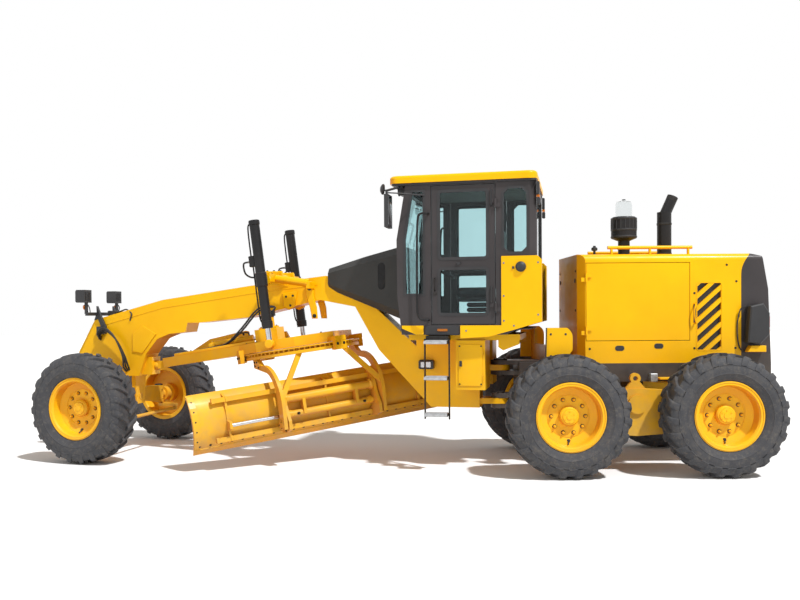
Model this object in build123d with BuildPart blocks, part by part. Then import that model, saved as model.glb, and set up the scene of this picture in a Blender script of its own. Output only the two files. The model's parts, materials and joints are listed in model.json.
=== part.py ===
"""Motor grader: rear tractor, hinged front frame with cab, drawbar, circle and blade.

Frame: +X forward along the rear tractor, +Y to the machine's left, +Z up, ground at Z = 0.
Every piece is drawn in the straight machine's own frame, with the articulation pin at
X = 0, Y = 0, or in its drawbar's or circle's frame, and is placed by its body's pose.
"""
from build123d import *
from math import atan2, degrees, hypot
import os

os.makedirs("parts", exist_ok=True)

# ---- where the bodies stand (mm, degrees) ----
SHIFT_X = -1230.0
SHIFT_Y = 607.0
ARTICULATION = 14.0  # front frame turned to the right about the pin
STEER = 6.0  # front wheels turned to the right on their kingpins
DRAWBAR_TILT = 8.5  # drawbar and circle stand with their rear end high
BLADE_ANGLE = 48.0  # blade's left end ahead, from square across the machine

# ---- wheels ----
TYRE_R = 607.0
TYRE_W = 400.0
RIM_R = 305.0  # bead seat
RIM_W = 330.0
FLANGE_R = 340.0
DISC_RECESS = 136.0  # from the outer flange to the disc
HUB_R = 95.0
BORE_R = 60.5
BOLT_CIRCLE_R = 167.5
FIT = 0.3  # gap at a fixed fit
RUN = 0.5  # gap at a turning fit
HINGE_R = 14.0
HINGE_PIN_R = 7.0
HINGE_H = 44.0
HINGE_OUT = 16.0  # a door hinge's axis from its wall

# ---- rear tractor ----
TANDEM_X = -1270.0
TANDEM_SPACING = 1526.0
REAR_TRACK = 1900.0
CASE_IN = 560.0
CASE_OUT = 700.0
RAIL_OUT = 480.0
RAIL_W = 100.0
RAIL_TOP = 1090.0
RAIL_H = 190.0
RAIL_END = -2730.0
TOW_R = 25.0  # pin hole of the tow eye under the rear end
TOW_T = 40.0
TOW_INSET = 48.0
TOW_DROP = 55.0
END_BOLT_R = 11.0
END_BOLT_DEPTH = 60.0
END_BOLT_Y = 300.0
END_BOLT_Z = 100.0
PIN_R = 40.0
EAR_T = 45.0  # one hitch ear
EYE_T = 60.0  # the front frame's eye between two ears
EYE_Z = (670.0, 1030.0)  # heights of the lower and the upper eye
EYE_R = 105.0

# ---- hood ----
HOOD_FRONT = -735.0
HOOD_SPLIT = -1930.0  # the door bay ends and the louvred part begins
HOOD_REAR = -2420.0
TAIL_SWEEP = 110.0  # the tail's front edge curves back this far to the top
HOOD_HALF = 480.0
HOOD_TOP = 2220.0
HOOD_WALL = 30.0
HOOD_CORNER = 70.0
HOOD_ROUND = 70.0  # along the top edges
DOOR_FRONT = -810.0
DOOR_REAR = -1890.0
DOOR_LOW = 1320.0
DOOR_HIGH = 2130.0
DOOR_GAP = 6.0
LOUVRE = (-2088.0, 1568.0, 246.0, 690.0)  # centre X, centre Z, length, height
LOUVRE_PITCH = 128.0
LOUVRE_W = 54.0

# ---- front frame ----
AXLE_X = 4450.0
FRONT_TRACK = 1930.0
KINGPIN_Y = 700.0
BEAM_HALF = 160.0
BALL = (4100.0, 1020.0)  # X and Z of the drawbar's ball
BALL_R = 60.0

# ---- cab ----
CAB_HALF = 700.0
CAB_REAR = -420.0
CAB_FLOOR = 1400.0
CAB_TOP = 2960.0
CAB_WALL = 50.0
ROOF_TOP = 3040.0
CAB_DOOR_REAR = -20.0
CAB_DOOR_FRONT = 640.0
CAB_DOOR_LOW = 1500.0
CAB_DOOR_HIGH = 2925.0

# ---- drawbar, circle and blade, in the drawbar's frame ----
CIRCLE_X = -1830.0  # circle's centre behind the ball
CIRCLE_Z = -48.0  # circle's top face below the ball
CIRCLE_R = 680.0
CIRCLE_H = 70.0
CIRCLE_BORE = 540.0
FLANGE_H = 12.0  # thin flange over the teeth
BAND_H = 32.0  # plain band under the teeth
BAND_R = 668.0
ROOT_R = 622.0
TOOTH_H = 38.0
TOOTH_W = 36.0
TEETH = 72
BLADE_LENGTH = 3050.0
BLADE_RIGHT = 1525.0  # reach of the blade's right end, clear of the right ladder
RAIL_INSET = 225.0  # the slide rails end this far from the blade's ends
RIB_INSET = 375.0
BLADE_BACK = 380.0  # cutting edge behind the circle's centre
BLADE_DROP = 950.0  # cutting edge below the circle's top face
BLADE_H = 610.0
BLADE_T = 20.0
ARM_Y = 600.0
ARM_T = 40.0
PIVOT = (-630.0, -790.0)  # the carrier's hinge on the arms, in the circle's frame
PIVOT_R = 22.0

# ---- lift and centre shift cylinders, in the front frame ----
LIFT_X = 2530.0
LIFT_Y = 590.0
LIFT_Z = 2000.0
LIFT_EYE = (2440.0, 1300.0)
BARREL_R = 55.0
ROD_R = 30.0
PISTON_R = 45.0
PISTON_TOP = 385.0
BARREL_LOW = -520.0  # ends of the lift barrels, from their trunnions
BARREL_HIGH = 650.0
BARREL_END = 40.0
TRUNNION_R = 24.0

CAB_HINGES = (1700.0, 2750.0)
HOOD_HINGES = (1450.0, 2000.0)

SIDES = (("left", 1), ("right", -1))

REAR = Location((SHIFT_X, SHIFT_Y, 0))
FRONT = REAR * Location((0, 0, 0), (0, 0, -ARTICULATION))
DRAWBAR = FRONT * Location((BALL[0], 0, BALL[1]), (0, DRAWBAR_TILT, 0))
CIRCLE = DRAWBAR * Location((CIRCLE_X, 0, CIRCLE_Z), (0, 0, -BLADE_ANGLE))


def save(name, piece, pose):
    """Put a finished piece where its body stands and write it."""
    placed = piece.part.moved(pose)
    placed.label = name
    export_step(placed, f"parts/{name}.step")


def hinge_pin(x, y, z, wall_y, out):
    """Fixed half of a hinge: a lug from the wall with an upright pin; out is the pin's side."""
    with Locations((x, y, z - HINGE_H / 2)):
        Cylinder(HINGE_R, HINGE_H, align=(Align.CENTER, Align.CENTER, Align.MAX))
        Cylinder(HINGE_PIN_R, HINGE_H, align=(Align.CENTER, Align.CENTER, Align.MIN))
    with Locations((x - out * 25, (y + wall_y) / 2, z - HINGE_H)):
        Box(50, abs(y - wall_y), HINGE_H)


def hinge_eye(x, y, z, wall_y, out):
    """Moving half of a hinge: an eye that turns on the pin, on a strap along the door."""
    with Locations((x, y, z)):
        Cylinder(HINGE_R, HINGE_H - 1)
    with Locations((x + out * 30, (y + wall_y) / 2, z)):
        Box(60, abs(y - wall_y), HINGE_H - 1)
    with Locations((x, y, z)):
        Cylinder(HINGE_PIN_R + RUN, HINGE_H + 10, mode=Mode.SUBTRACT)


def rod(start, end, radius):
    """A round bar between two points, for use outside the builders."""
    a, b = Vector(*start), Vector(*end)
    upright = Cylinder(
        radius,
        (b - a).length,
        align=(Align.CENTER, Align.CENTER, Align.MIN),
        mode=Mode.PRIVATE,
    )
    return Plane(origin=a, z_dir=b - a) * upright


# ======================= wheels =======================
def wheel_profile_tyre():
    """Half section of the tyre: radius along X, width along Y."""
    half = TYRE_W / 2
    with BuildLine() as line:
        Polyline(
            (RIM_R + FIT, -RIM_W / 2 + 12),
            (RIM_R + FIT, RIM_W / 2 - 12),
            (FLANGE_R + 4, RIM_W / 2 - 10),
        )
        ThreePointArc(
            (FLANGE_R + 4, RIM_W / 2 - 10),
            (0.75 * FLANGE_R + 0.25 * TYRE_R + 40, half),
            (TYRE_R - 45, half - 22),
        )
        ThreePointArc(
            (TYRE_R - 45, half - 22), (TYRE_R - 12, half - 45), (TYRE_R - 5, half - 80)
        )
        ThreePointArc((TYRE_R - 5, half - 80), (TYRE_R, 0), (TYRE_R - 5, 80 - half))
        ThreePointArc(
            (TYRE_R - 5, 80 - half), (TYRE_R - 12, 45 - half), (TYRE_R - 45, 22 - half)
        )
        ThreePointArc(
            (TYRE_R - 45, 22 - half),
            (0.75 * FLANGE_R + 0.25 * TYRE_R + 40, -half),
            (FLANGE_R + 4, 10 - RIM_W / 2),
        )
        Line((FLANGE_R + 4, 10 - RIM_W / 2), (RIM_R + FIT, -RIM_W / 2 + 12))
    return line


def make_tyre(side):
    """A tyre about the Y axis; it is the same on both sides."""
    with BuildPart() as tyre:
        with BuildSketch():
            add(wheel_profile_tyre().line)
            make_face()
        revolve(axis=Axis.Y)
    return tyre


def make_rim(side):
    """A dished rim about the Y axis, its deep side outward (side 1 is left)."""
    half = RIM_W / 2
    disc = half - DISC_RECESS
    with BuildPart() as rim:
        with BuildSketch():
            with BuildLine():
                Polyline(
                    (RIM_R, half - 12),
                    (FLANGE_R, half - 10),
                    (FLANGE_R, half),
                    (RIM_R - 2, half),
                    (RIM_R - 16, half - 16),
                    (RIM_R - 26, disc + 26),
                    (BOLT_CIRCLE_R + 42, disc),
                    (HUB_R, disc),
                    (HUB_R, disc + 42),
                    (HUB_R - 14, disc + 56),
                    (0, disc + 56),
                    (0, disc + 20),
                    (BORE_R, disc + 20),
                    (BORE_R, disc - 120),
                    (HUB_R + 25, disc - 120),
                    (HUB_R + 25, disc - 22),
                    (BOLT_CIRCLE_R + 46, disc - 22),
                    (RIM_R - 14, disc - 30),
                    (RIM_R - 14, 16 - half),
                    (RIM_R - 4, -half),
                    (FLANGE_R, -half),
                    (FLANGE_R, 10 - half),
                    (RIM_R, 12 - half),
                    close=True,
                )
            make_face()
        revolve(axis=Axis.Y)
        if side < 0:
            mirror(about=Plane.XZ, mode=Mode.REPLACE)
    return rim


for side_name, side in SIDES:
    for end_name, end in (("front", 1), ("back", -1)):
        hub = REAR * Location(
            (TANDEM_X + end * TANDEM_SPACING / 2, side * REAR_TRACK / 2, TYRE_R)
        )
        save(f"rear_tyre_{side_name}_{end_name}", make_tyre(side), hub)
        save(f"rear_rim_{side_name}_{end_name}", make_rim(side), hub)
    kingpin = FRONT * Location((AXLE_X, side * KINGPIN_Y, TYRE_R), (0, 0, -STEER))
    hub = kingpin * Location((0, side * (FRONT_TRACK / 2 - KINGPIN_Y), 0))
    save(f"front_tyre_{side_name}", make_tyre(side), hub)
    save(f"front_rim_{side_name}", make_rim(side), hub)


# ======================= rear tractor =======================
HUB_FACE = RIM_W / 2 - DISC_RECESS - 120  # inner end of the hub, from the wheel's centre
STUB_TIP = RIM_W / 2 - DISC_RECESS + 20 - 2  # stub shaft's end in its blind bore

with BuildPart() as rear_axle:
    with BuildSketch(Plane.XZ.offset(-CASE_IN)):
        with Locations((TANDEM_X, TYRE_R)):
            Circle(130)
    extrude(amount=2 * CASE_IN)
    with Locations((TANDEM_X, 0, TYRE_R)):
        Sphere(230)
    for side in (1, -1):
        with BuildSketch(Plane.XZ.offset(-side * (CASE_IN - 120))):
            with Locations((TANDEM_X, TYRE_R)):
                Circle(190)
        extrude(amount=-side * 120)
save("rear_axle", rear_axle, REAR)


def make_tandem_case(side):
    """Chain case between a pair of rear wheels, with its two wheel shafts."""
    with BuildPart() as case:
        with BuildSketch(Plane.XZ.offset(-side * CASE_IN)):
            with Locations((TANDEM_X, TYRE_R)):
                Circle(240)
            with Locations(
                (TANDEM_X + TANDEM_SPACING / 2, TYRE_R),
                (TANDEM_X - TANDEM_SPACING / 2, TYRE_R),
            ):
                Circle(185)
            make_hull()
        extrude(amount=-side * (CASE_OUT - CASE_IN))
        with BuildSketch(Plane.XZ.offset(-side * CASE_OUT)):
            with Locations((TANDEM_X, TYRE_R + 80)):
                Circle(95)
        extrude(amount=-side * 25)
        # lifting ear on top
        with BuildSketch(Plane.XZ.offset(-side * (CASE_OUT - 60))):
            with BuildLine():
                Polyline(
                    (TANDEM_X - 130, TYRE_R + 190), (TANDEM_X + 150, TYRE_R + 190),
                    (TANDEM_X + 60, TYRE_R + 300), (TANDEM_X - 40, TYRE_R + 300), close=True,
                )
            make_face()
            with Locations((TANDEM_X + 10, TYRE_R + 340)):
                Circle(54)
                Circle(24, mode=Mode.SUBTRACT)
        extrude(amount=-side * 40)
        for end in (1, -1):
            x = TANDEM_X + end * TANDEM_SPACING / 2
            with BuildSketch(Plane.XZ.offset(-side * CASE_OUT)):
                with Locations((x, TYRE_R)):
                    Circle(HUB_R + 20)
            extrude(amount=-side * (REAR_TRACK / 2 + HUB_FACE - CASE_OUT - 5))
            with BuildSketch(Plane.XZ.offset(-side * CASE_OUT)):
                with Locations((x, TYRE_R)):
                    Circle(BORE_R - RUN)
            extrude(amount=-side * (REAR_TRACK / 2 + STUB_TIP - CASE_OUT))
    return case


for side_name, side in SIDES:
    save(f"tandem_case_{side_name}", make_tandem_case(side), REAR)

with BuildPart() as rear_frame:
    # ladder frame seen from above, narrow at the hitch and wide at the engine
    with BuildSketch(Plane.XY.offset(RAIL_TOP - RAIL_H)):
        with BuildLine():
            Polyline(
                (-170, 200),
                (-430, 200),
                (-720, RAIL_OUT),
                (RAIL_END, RAIL_OUT),
                (RAIL_END, -RAIL_OUT),
                (-720, -RAIL_OUT),
                (-430, -200),
                (-170, -200),
                close=True,
            )
        make_face()
        for low, high in ((-2600, -2060), (-1960, -1400), (-1300, -840)):
            with Locations(((low + high) / 2, 0)):
                Rectangle(high - low, 2 * (RAIL_OUT - RAIL_W), mode=Mode.SUBTRACT)
    extrude(amount=RAIL_H)
    # hitch post: a box from the lower to the upper ears
    ear_low = EYE_Z[0] - EYE_T / 2 - EAR_T - 3
    ear_high = EYE_Z[1] + EYE_T / 2 + EAR_T + 3
    with BuildSketch(Plane.XY.offset(ear_low)):
        with Locations((-300, 0)):
            Rectangle(260, 340)
    extrude(amount=ear_high - ear_low)
    for eye in EYE_Z:
        for level in (eye - EYE_T / 2 - 3 - EAR_T, eye + EYE_T / 2 + 3):
            with BuildSketch(Plane.XY.offset(level)):
                Circle(EYE_R)
                with BuildLine():
                    Polyline(
                        (0, EYE_R), (-200, 170), (-200, -170), (0, -EYE_R), close=True
                    )
                make_face()
            extrude(amount=EAR_T)
        with Locations((0, 0, eye)):
            Cylinder(PIN_R, EYE_T + 2 * EAR_T + 40)
    # pedestals down to the axle
    for y in (-360, 360):
        with BuildSketch(Plane.XZ.offset(-y - 60)):
            with Locations((TANDEM_X, (TYRE_R + RAIL_TOP - RAIL_H) / 2 + 40)):
                Rectangle(300, RAIL_TOP - RAIL_H - TYRE_R + 60)
            with Locations((TANDEM_X, TYRE_R)):
                Circle(130 + FIT, mode=Mode.SUBTRACT)
        extrude(amount=120)
    # tow eye under the end, and four bolt holes in its back face
    tow = (RAIL_END + TOW_INSET, RAIL_TOP - RAIL_H - TOW_DROP)
    with BuildSketch(Plane.XZ.offset(-TOW_T / 2)):
        with Locations(tow):
            Circle(TOW_INSET)
        with Locations((RAIL_END + 90, RAIL_TOP - RAIL_H - TOW_DROP / 2 + 10)):
            Rectangle(180, TOW_DROP + 20)
        with Locations(tow):
            Circle(TOW_R, mode=Mode.SUBTRACT)
    extrude(amount=TOW_T)
    with Locations(Location((RAIL_END, 0, RAIL_TOP - RAIL_H / 2), (0, -90, 0))):
        with GridLocations(END_BOLT_Z, END_BOLT_Y, 2, 2):
            Cylinder(END_BOLT_R, 2 * END_BOLT_DEPTH, mode=Mode.SUBTRACT)
save("rear_frame", rear_frame, REAR)

with BuildPart() as engine_block:
    with BuildSketch(Plane.XY.offset(RAIL_TOP)):
        with Locations((-1400, 0)):
            Rectangle(1000, 620)
    extrude(amount=820)
save("engine_block", engine_block, REAR)

def hood_outline(wall):
    """Rounded outline of the hood across the machine, drawn wall inside its outer face."""
    with Locations((0, (RAIL_TOP + HOOD_TOP - wall) / 2)):
        outline = Rectangle(2 * (HOOD_HALF - wall), HOOD_TOP - wall - RAIL_TOP)
    fillet(outline.vertices().group_by(Axis.Y)[-1], HOOD_ROUND - 0.8 * wall)


with BuildPart() as hood:
    with BuildSketch(Plane.YZ.offset(HOOD_SPLIT)):
        hood_outline(0)
    extrude(amount=HOOD_FRONT - HOOD_SPLIT)
    # the front corners are cut back so that the cab can swing past them
    with BuildSketch(Plane.XY.offset(RAIL_TOP)):
        with BuildLine():
            Polyline(
                (HOOD_SPLIT, -HOOD_HALF),
                (HOOD_FRONT - HOOD_CORNER, -HOOD_HALF),
                (HOOD_FRONT, HOOD_CORNER - HOOD_HALF),
                (HOOD_FRONT, HOOD_HALF - HOOD_CORNER),
                (HOOD_FRONT - HOOD_CORNER, HOOD_HALF),
                (HOOD_SPLIT, HOOD_HALF),
                close=True,
            )
        make_face()
    extrude(amount=HOOD_TOP - RAIL_TOP, mode=Mode.INTERSECT)
    with BuildSketch(Plane.YZ.offset(HOOD_SPLIT)):
        hood_outline(HOOD_WALL)
    extrude(amount=HOOD_FRONT - HOOD_SPLIT - 130, mode=Mode.SUBTRACT)
    with BuildSketch(Plane.XZ.offset(-HOOD_HALF)):
        with Locations(((DOOR_FRONT + DOOR_REAR) / 2, (DOOR_LOW + DOOR_HIGH) / 2)):
            Rectangle(DOOR_FRONT - DOOR_REAR, DOOR_HIGH - DOOR_LOW)
    extrude(amount=2 * HOOD_HALF, mode=Mode.SUBTRACT)
    for side in (1, -1):
        for z in HOOD_HINGES:
            hinge_pin(
                DOOR_FRONT, side * (HOOD_HALF + HINGE_OUT), z, side * HOOD_HALF, -1
            )
save("hood", hood, REAR)


def tail_profile(grow):
    """Side view of the dark tail, its front edge curving back to the hood's top."""
    front = HOOD_REAR + grow
    with BuildLine() as line:
        Line((RAIL_END, RAIL_TOP), (front, RAIL_TOP))
        Line((front, RAIL_TOP), (front, 1990))
        ThreePointArc((front, 1990), (front - 28, 2120), (front - TAIL_SWEEP, HOOD_TOP))
        Polyline(
            (front - TAIL_SWEEP, HOOD_TOP), (-2640, HOOD_TOP - 30), (-2700, 1850), (RAIL_END, RAIL_TOP)
        )
    return line.line


with BuildPart() as hood_rear:
    back = HOOD_REAR - TAIL_SWEEP + 3 * FIT
    with BuildSketch(Plane.YZ.offset(back)):
        hood_outline(0)
    extrude(amount=HOOD_SPLIT - FIT - back)
    with BuildSketch(Plane.YZ.offset(HOOD_REAR)):
        hood_outline(HOOD_WALL)
    extrude(amount=HOOD_SPLIT - HOOD_REAR, mode=Mode.SUBTRACT)
    with BuildSketch(Plane.XZ.offset(-HOOD_HALF)):
        add(tail_profile(2 * FIT))
        make_face()
    extrude(amount=2 * HOOD_HALF, mode=Mode.SUBTRACT)
    # slanting louvres through both sides
    with BuildSketch(Plane.XZ.offset(-HOOD_HALF)):
        for step in range(-3, 4):
            with Locations((LOUVRE[0], LOUVRE[1] + step * LOUVRE_PITCH)):
                Rectangle(460, LOUVRE_W, rotation=-42)
        with Locations(LOUVRE[:2]):
            Rectangle(*LOUVRE[2:], mode=Mode.INTERSECT)
    extrude(amount=2 * HOOD_HALF, mode=Mode.SUBTRACT)
save("hood_rear", hood_rear, REAR)

with BuildPart() as hood_tail:
    with BuildSketch(Plane.XZ.offset(-HOOD_HALF)):
        add(tail_profile(0))
        make_face()
    extrude(amount=2 * HOOD_HALF)
    with BuildSketch(Plane.YZ.offset(RAIL_END)):
        hood_outline(0)
    extrude(amount=HOOD_REAR - RAIL_END, mode=Mode.INTERSECT)
save("hood_tail", hood_tail, REAR)


def make_hood_door(side):
    """Engine side door, hinged at its front edge."""
    y = HOOD_HALF if side > 0 else -HOOD_HALF
    with BuildPart() as door:
        with BuildSketch(Plane.XZ.offset(-y)):
            with Locations(((DOOR_FRONT + DOOR_REAR) / 2, (DOOR_LOW + DOOR_HIGH) / 2)):
                Rectangle(
                    DOOR_FRONT - DOOR_REAR - 2 * DOOR_GAP,
                    DOOR_HIGH - DOOR_LOW - 2 * DOOR_GAP,
                )
        extrude(amount=side * HOOD_WALL)
        for z in HOOD_HINGES:
            hinge_eye(DOOR_FRONT, side * (HOOD_HALF + HINGE_OUT), z, y, -1)
    return door


for side_name, side in SIDES:
    save(f"hood_door_{side_name}", make_hood_door(side), REAR)

with BuildPart() as exhaust_stack:
    with BuildSketch(Plane.XY.offset(HOOD_TOP)):
        with Locations((-1790, 0)):
            Circle(75)
    extrude(amount=480)
    tip = Plane(origin=(-1790, 0, HOOD_TOP + 440), z_dir=(-0.45, 0, 1))
    with BuildSketch(tip):
        Circle(58)
    extrude(amount=230)
save("exhaust_stack", exhaust_stack, REAR)

with BuildPart() as air_precleaner:
    with BuildSketch(Plane.XZ):
        with BuildLine():
            Polyline(
                (0, HOOD_TOP),
                (62, HOOD_TOP),
                (62, HOOD_TOP + 170),
                (135, HOOD_TOP + 200),
                (135, HOOD_TOP + 400),
                (120, HOOD_TOP + 430),
                (0, HOOD_TOP + 430),
                close=True,
            )
        make_face()
    revolve(axis=Axis.Z)
save("air_precleaner", air_precleaner, REAR * Location((-1350, 0, 0)))

with BuildPart() as hood_rails:
    for y in (-400, 400):
        for x in (-1100, -1500, -1900):
            with BuildSketch(Plane.XY.offset(HOOD_TOP)):
                with Locations((x, y)):
                    Circle(14)
            extrude(amount=60)
        with BuildSketch(Plane.YZ.offset(-1940)):
            with Locations((y, HOOD_TOP + 70)):
                Circle(18)
        extrude(amount=880)
save("hood_rails", hood_rails, REAR)

with BuildPart() as fenders:
    with BuildSketch(Plane.YZ.offset(-500)):
        with Locations((0, RAIL_TOP + 90)):
            Rectangle(1400, 180)
    extrude(amount=30)
    for side in (1, -1):
        with BuildSketch(Plane.YZ.offset(-500)):
            with Locations((side * 590, RAIL_TOP + 260)):
                Rectangle(220, 180)
        extrude(amount=30)
        # side panel with a rounded upper rear corner
        with BuildSketch(Plane.XZ.offset(-side * 700)):
            with BuildLine():
                Polyline(
                    (-620, RAIL_TOP + 270), (-620, RAIL_TOP + 150), (-520, RAIL_TOP + 20),
                    (-340, RAIL_TOP + 20), (-355, RAIL_TOP + 375), (-560, RAIL_TOP + 375),
                )
                ThreePointArc(
                    (-560, RAIL_TOP + 375), (-603, RAIL_TOP + 335), (-620, RAIL_TOP + 270)
                )
            make_face()
        extrude(amount=side * 14)
save("fenders", fenders, REAR)

# ======================= front frame =======================
with BuildPart() as front_frame:
    with BuildSketch(Plane.XZ.offset(-BEAM_HALF)):
        with BuildLine():
            Polyline(
                (4830, 1570),
                (3940, 1800),
                (2840, 1950),
                (1930, 2050),
                (1700, 2010),
                (1080, 1430),
                (770, 1140),
                (420, 1095),
                (210, 1095),
                (210, 600),
                (740, 600),
                (1320, 1220),
                (1590, 1700),
                (2000, 1780),
                (2850, 1590),
                (3470, 1530),
                (3620, 1530),
                (3650, 1420),
                (3860, 1400),
                (4010, 1340),
                (4160, 1160),
                (4250, 900),
                (4700, 900),
                (5050, 1180),
                close=True,
            )
        make_face()
    extrude(amount=2 * BEAM_HALF)
    # eyes of the articulation
    for eye in EYE_Z:
        with BuildSketch(Plane.XY.offset(eye - EYE_T / 2)):
            Circle(EYE_R - 5)
            with BuildLine():
                Polyline(
                    (0, EYE_R - 5), (215, 140), (215, -140), (0, 5 - EYE_R), close=True
                )
            make_face()
            Circle(PIN_R + RUN, mode=Mode.SUBTRACT)
        extrude(amount=EYE_T)
    # deck under the cab on two webs
    with BuildSketch(Plane.XY.offset(CAB_FLOOR - 60)):
        with Locations((325, 0)):
            Rectangle(1150, 1160)
    extrude(amount=60)
    for y in (-140, 140):
        with BuildSketch(Plane.XZ.offset(-y - 20)):
            with BuildLine():
                Polyline(
                    (150, CAB_FLOOR - 60),
                    (900, CAB_FLOOR - 60),
                    (900, 1200),
                    (700, 1050),
                    (230, 1050),
                    close=True,
                )
            make_face()
        extrude(amount=40)
    # socket round the front of the drawbar's ball
    with BuildSketch(Plane.XZ.offset(-100)):
        with Locations((BALL[0] + 95, BALL[1])):
            Rectangle(170, 210)
    extrude(amount=200)
    with Locations(Location((BALL[0], 0, BALL[1]), (0, 90, 0))):
        Sphere(BALL_R + RUN, mode=Mode.SUBTRACT)
    # plates that hold the front axle's pivot
    for x in (AXLE_X - 130, AXLE_X + 80):
        with BuildSketch(Plane.YZ.offset(x)):
            with BuildLine():
                Polyline(
                    (-130, 960), (130, 960), (100, 560), (-100, 560), close=True
                )
            make_face()
            with Locations((0, TYRE_R + 40)):
                Circle(PIN_R + FIT, mode=Mode.SUBTRACT)
        extrude(amount=50)
save("front_frame", front_frame, FRONT)

with BuildPart() as front_cover:
    for x, half, low, high in ((1000, 450, 1550, 2345), (1895, 190, 1900, 2130)):
        with BuildSketch(Plane.YZ.offset(x)):
            with Locations((0, (low + high) / 2)):
                Rectangle(2 * half, high - low)
    loft()
    with BuildSketch(Plane.XZ.offset(-BEAM_HALF - FIT)):
        with BuildLine():
            Polyline(
                (1990, 2050),
                (1930, 2056),
                (1700, 2016),
                (1000, 1400),
                (1990, 1400),
                close=True,
            )
        make_face()
    extrude(amount=2 * (BEAM_HALF + FIT), mode=Mode.SUBTRACT)
save("front_cover", front_cover, FRONT)

EAR_REACH = 52.0
KINGPIN_R = 30.0

with BuildPart() as front_axle:
    axle_z = TYRE_R + 40
    with BuildSketch(Plane.YZ.offset(AXLE_X - 75)):
        with BuildLine():
            Polyline(
                (-KINGPIN_Y - EAR_REACH, TYRE_R + 110),
                (-200, axle_z + 90),
                (200, axle_z + 90),
                (KINGPIN_Y + EAR_REACH, TYRE_R + 110),
                (KINGPIN_Y + EAR_REACH, TYRE_R - 110),
                (200, axle_z - 70),
                (-200, axle_z - 70),
                (-KINGPIN_Y - EAR_REACH, TYRE_R - 110),
                close=True,
            )
        make_face()
    extrude(amount=150)
    # the ends taper in plan so that the knuckles can turn round them
    with BuildSketch(Plane.XY.offset(TYRE_R - 200)):
        with BuildLine():
            Polyline(
                (AXLE_X - 75, -KINGPIN_Y + 30),
                (AXLE_X - 75, KINGPIN_Y - 30),
                (AXLE_X - 38, KINGPIN_Y + EAR_REACH),
                (AXLE_X + 38, KINGPIN_Y + EAR_REACH),
                (AXLE_X + 75, KINGPIN_Y - 30),
                (AXLE_X + 75, -KINGPIN_Y + 30),
                (AXLE_X + 38, -KINGPIN_Y - EAR_REACH),
                (AXLE_X - 38, -KINGPIN_Y - EAR_REACH),
                close=True,
            )
        make_face()
    extrude(amount=500, mode=Mode.INTERSECT)
    # forks for the kingpins
    for side in (1, -1):
        with Locations((AXLE_X, side * (KINGPIN_Y + 10), TYRE_R)):
            Box(160, 160, 130, mode=Mode.SUBTRACT)
        with Locations((AXLE_X, side * KINGPIN_Y, TYRE_R)):
            Cylinder(KINGPIN_R, 220)
    with BuildSketch(Plane.YZ.offset(AXLE_X - 135)):
        with Locations((0, axle_z)):
            Circle(PIN_R)
    extrude(amount=270)
save("front_axle", front_axle, FRONT)

ARM_BACK = -240.0
ARM_IN = 0.0
HOUSING_START = 74.0  # the wheel bearing housing starts clear of the axle's ears


def make_knuckle(side):
    """Steering knuckle about its kingpin, with the spindle and the steering arm."""
    offset = FRONT_TRACK / 2 - KINGPIN_Y
    with BuildPart() as knuckle:
        with BuildSketch(Plane.XY.offset(-60)):
            Circle(58)
        extrude(amount=120)
        with BuildSketch(Plane.XZ):
            Circle(56)
        extrude(amount=-side * HOUSING_START)
        with BuildSketch(Plane.XZ.offset(-side * HOUSING_START)):
            Circle(90)
        extrude(amount=-side * (offset + HUB_FACE - 5 - HOUSING_START))
        with BuildSketch(Plane.XZ.offset(-side * HOUSING_START)):
            Circle(BORE_R - RUN)
        extrude(amount=-side * (offset + STUB_TIP - HOUSING_START))
        with BuildSketch(Plane.XY.offset(-118)):
            with BuildLine():
                Polyline(
                    (20, -side * 20),
                    (20, side * 104),
                    (-40, side * 104),
                    (ARM_BACK - 20, -side * (ARM_IN - 30)),
                    (ARM_BACK - 20, -side * (ARM_IN + 30)),
                    (-80, -side * 40),
                    close=True,
                )
            make_face()
        extrude(amount=-30)
        with BuildSketch(Plane.XY.offset(-148)):
            with Locations((0, side * 88)):
                Rectangle(40, 32)
        extrude(amount=120)
        Cylinder(KINGPIN_R + RUN, 400, mode=Mode.SUBTRACT)
        with Locations((ARM_BACK, -side * ARM_IN, -200)):
            Cylinder(12, 60, align=(Align.CENTER, Align.CENTER, Align.MIN))
    return knuckle


for side_name, side in SIDES:
    kingpin = FRONT * Location((AXLE_X, side * KINGPIN_Y, TYRE_R), (0, 0, -STEER))
    save(f"knuckle_{side_name}", make_knuckle(side), kingpin)

with BuildPart() as tie_rod:
    half = KINGPIN_Y - ARM_IN
    with BuildSketch(Plane.XZ.offset(-half)):
        Circle(20)
    extrude(amount=2 * half)
    for y in (half, -half):
        with Locations((0, y, 0)):
            Cylinder(28, 36)
            Cylinder(12 + RUN, 60, mode=Mode.SUBTRACT)
arm_tip = FRONT * Location((AXLE_X, KINGPIN_Y, TYRE_R), (0, 0, -STEER))
arm_tip = arm_tip * Location((ARM_BACK, -ARM_IN, -172), (0, 0, STEER))
save("tie_rod", tie_rod, arm_tip * Location((0, ARM_IN - KINGPIN_Y, 0)))

# ======================= cab =======================
REAR_WINDOW_CUT = 60.0
PANEL_T = 12.0
PANEL_BACK = -475.0

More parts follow.
